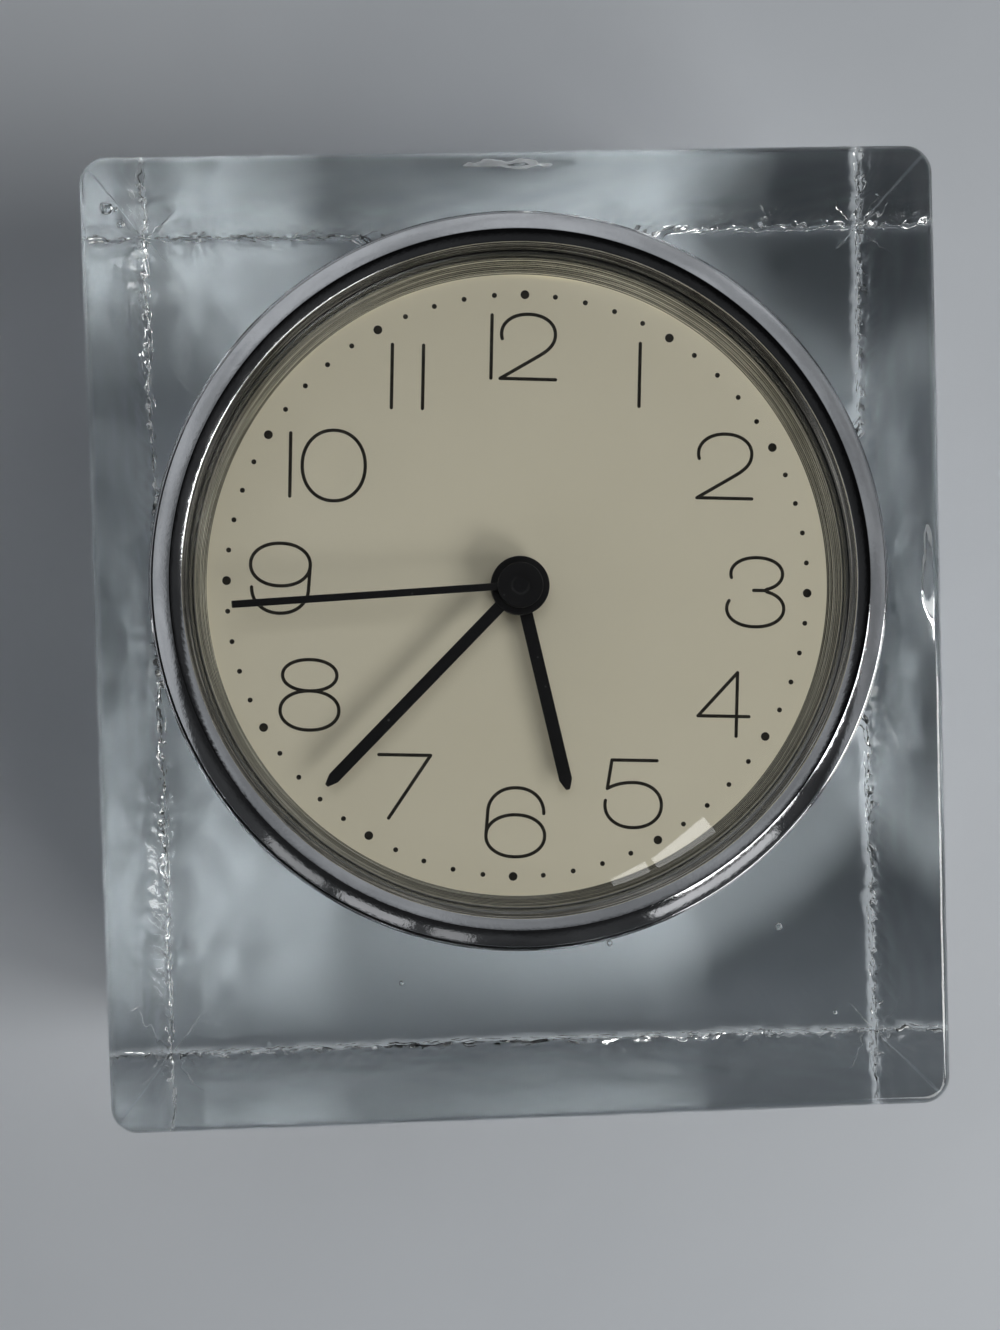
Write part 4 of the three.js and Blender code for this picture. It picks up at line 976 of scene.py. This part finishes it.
surface_corners = [(x, SURFACE_DEPTH, z) for x, z in (
    (-SURFACE_REACH, -SURFACE_REACH), (SURFACE_REACH, -SURFACE_REACH),
    (SURFACE_REACH, SURFACE_REACH), (-SURFACE_REACH, SURFACE_REACH))]
surface = make_mesh("pale_surface", surface_corners, [(0, 1, 2, 3)], keep_sides=True)
surface.data.materials.append(pale_surface())


# Lights, in metres
CLOCK_MIDDLE = Vector((0.0, -0.02, 0.075))
WINDOW = (1.0, 0.99, 0.97)
SKY = (0.97, 0.98, 1.0)
BACKDROP = 0.4
THROUGH_GLASS = 0.55


def direction(from_front, turn):
    """Unit vector at an angle from the line of sight, turned counter-clockwise from the right."""
    angle, turn = math.radians(from_front), math.radians(turn)
    return Vector((math.sin(angle) * math.cos(turn), -math.cos(angle), math.sin(angle) * math.sin(turn)))


def lamp(name, from_front, turn, distance, width, height, radiance, colour=(1, 1, 1)):
    """A soft box that faces the clock from that direction, with its light given per area and angle. Its
    width runs round the line of sight and its height away from it."""
    data = bpy.data.lights.new(name, "AREA")
    data.shape = "RECTANGLE"
    data.size = width
    data.size_y = height
    data.energy = radiance * width * height * math.pi
    data.color = colour
    made = bpy.data.objects.new(name, data)
    towards = direction(from_front, turn)
    made.location = CLOCK_MIDDLE + towards * distance
    sideways = Vector((0, 1, 0)).cross(towards).normalized()
    made.rotation_euler = Matrix((sideways, towards.cross(sideways), towards)).transposed().to_euler()
    scene.collection.objects.link(made)
    return made


def linked(name, pieces):
    """A collection that names what a lamp lights or what shades it."""
    group = bpy.data.collections.new(name)
    for piece in pieces:
        group.objects.link(piece)
    return group


# The photograph shows the hands' shadows on the dial and hardly any of the bezel's. So the dial and hands
# are lit by lamps of their own, in the same directions, which only the hands shade.
face_pieces = [bpy.data.objects[name] for name in ("cream_dial", "dial_print")]
hand_pieces = [bpy.data.objects["black_" + name] for name in HANDS]
face = linked("face", face_pieces + hand_pieces)
hands = linked("hands", hand_pieces)
surroundings = linked("surroundings", [piece for piece in scene.objects
                                       if piece.type == "MESH" and piece.name not in face.objects
                                       and piece.name != "domed_crystal"])

for name, from_front, turn, distance, width, height, radiance, colour, lit in (
        ("window_right", 57, -16, 1.0, 0.40, 0.30, 12.2, WINDOW, surroundings),
        ("window_below", 56, -48, 1.0, 0.40, 0.30, 5.6, WINDOW, surroundings),
        ("ceiling", 22, 80, 1.4, 1.2, 1.0, 0.22, SKY, surroundings),
        ("face_window_right", 57, -14, 1.0, 0.40, 0.30, 5.0, WINDOW, face),
        ("face_window_below", 56, -47, 1.0, 0.40, 0.30, 7.6, WINDOW, face),
        ("face_ceiling", 22, 80, 1.4, 1.2, 1.0, 1.65, SKY, face)):
    made = lamp(name, from_front, turn, distance, width, height, radiance, colour)
    made.light_linking.receiver_collection = lit
    if lit is face:
        made.light_linking.blocker_collection = hands
        made.visible_transmission = False
    made.visible_glossy = lit is surroundings and name != "ceiling"

# Pale panes that the rim mirrors low down, by their turn, width and radiance
LOW_PANES = [(-131, 0.20, 0.32), (-115, 0.22, 0.42), (-101, 0.12, 0.30), (-54, 0.42, 0.7)]
for number, (turn, width, radiance) in enumerate(LOW_PANES):
    lamp(f"low_pane_{number + 1}", 73, turn, 1.0, width, 0.16, radiance)

# Two panes that the crystal alone mirrors near its lower right edge
crystal_only = linked("crystal_only", [bpy.data.objects["domed_crystal"]])
for number, (turn, width) in enumerate([(-64, 0.07), (-52, 0.12)]):
    pane = lamp(f"crystal_pane_{number + 1}", 31.9, turn, 1.0, width, 0.05, 3.4)
    pane.light_linking.receiver_collection = crystal_only

# Two soft boxes that light the back and aren't seen through the glass
for name, from_front, turn, radiance in (("rear_right", 140, 40, 9.0), ("rear_left", 150, 130, 6.0)):
    lamp(name, from_front, turn, 1.0, 0.6, 0.6, radiance).visible_transmission = False


def room():
    """A pale room whose nearer half, in front of the clock and below it, is hidden by a dark shape. That is
    for what the clock reflects: seen straight, or straight through the glass, it is a plain pale backdrop.
    Less of its light reaches the surface through the glass than past it."""
    world = bpy.data.worlds.new("room")
    world.use_nodes = True
    nodes, links = world.node_tree.nodes, world.node_tree.links
    background = nodes["Background"]

    def value_of(source, low, high, to_low, to_high):
        node = nodes.new("ShaderNodeMapRange")
        node.interpolation_type = "SMOOTHSTEP"
        node.inputs["From Min"].default_value = low
        node.inputs["From Max"].default_value = high
        node.inputs["To Min"].default_value = to_low
        node.inputs["To Max"].default_value = to_high
        links.new(source, node.inputs["Value"])
        return node.outputs["Result"]

    def along(*axis):
        node = nodes.new("ShaderNodeVectorMath")
        node.operation = "DOT_PRODUCT"
        node.inputs[1].default_value = axis
        links.new(place_in_sky, node.inputs[0])
        return node.outputs["Value"]

    def combine(operation, first, second):
        node = nodes.new("ShaderNodeMath")
        node.operation = operation
        links.new(first, node.inputs[0])
        links.new(second, node.inputs[1])
        return node.outputs["Value"]

    # What kind of ray looks into the room
    rays = nodes.new("ShaderNodeLightPath").outputs
    unbounced = value_of(combine("ADD", rays["Glossy Depth"], rays["Diffuse Depth"]), 0.0, 1.0, 1.0, 0.0)
    seen_through = combine("MULTIPLY", rays["Is Transmission Ray"], unbounced)
    seen_straight = combine("MAXIMUM", rays["Is Camera Ray"], seen_through)
    lit_through = combine("MULTIPLY", rays["Is Transmission Ray"],
                          value_of(rays["Diffuse Depth"], 0.0, 1.0, 0.0, 1.0))

    # Light by direction: dark straight in front, paler in a band round that and palest beyond, a little
    # dimmer at the far right, and a tenth of all that in the dark shape
    place_in_sky = nodes.new("ShaderNodeTexCoord").outputs["Generated"]
    clouds = nodes.new("ShaderNodeTexNoise")
    clouds.inputs["Scale"].default_value = 3.5
    clouds.inputs["Detail"].default_value = 3.0
    links.new(place_in_sky, clouds.inputs["Vector"])
    depth = along(0, 1, 0)
    ring = value_of(depth, -0.47, -0.36, 0.04, 0.36)
    upper = value_of(depth, -0.86, -0.78, 0.0, 0.28)
    lower = value_of(depth, -0.56, -0.50, 1.0, 0.4)
    light = combine("ADD", ring, combine("MULTIPLY", upper, lower))
    side = value_of(along(1, 0, 0), 0.6, 1.0, 1.0, 0.6)
    shape = value_of(along(0, 1.22, 1), -0.70, -0.60, 0.1, 1.0)
    light = combine("MULTIPLY", combine("MULTIPLY", light, side), shape)
    light = combine("MULTIPLY", light, value_of(clouds.outputs["Fac"], 0.35, 0.65, 0.8, 1.25))

    light = combine("MULTIPLY", light, value_of(lit_through, 0.0, 1.0, 1.0, THROUGH_GLASS))
    reflected = combine("MULTIPLY", light, value_of(seen_straight, 0.0, 1.0, 1.0, 0.0))
    light = combine("ADD", reflected, value_of(seen_straight, 0.0, 1.0, 0.0, BACKDROP))
    links.new(light, background.inputs["Strength"])
    background.inputs["Color"].default_value = (0.94, 0.97, 1.0, 1)
    return world


scene.world = room()

scene.view_settings.view_transform = "Standard"
scene.cycles.max_bounces = 18
scene.cycles.transmission_bounces = 16
scene.cycles.transparent_max_bounces = 16
scene.cycles.glossy_bounces = 8
scene.cycles.caustics_refractive = True
scene.cycles.caustics_reflective = True
scene.cycles.blur_glossy = 0.0
scene.cycles.use_denoising = True
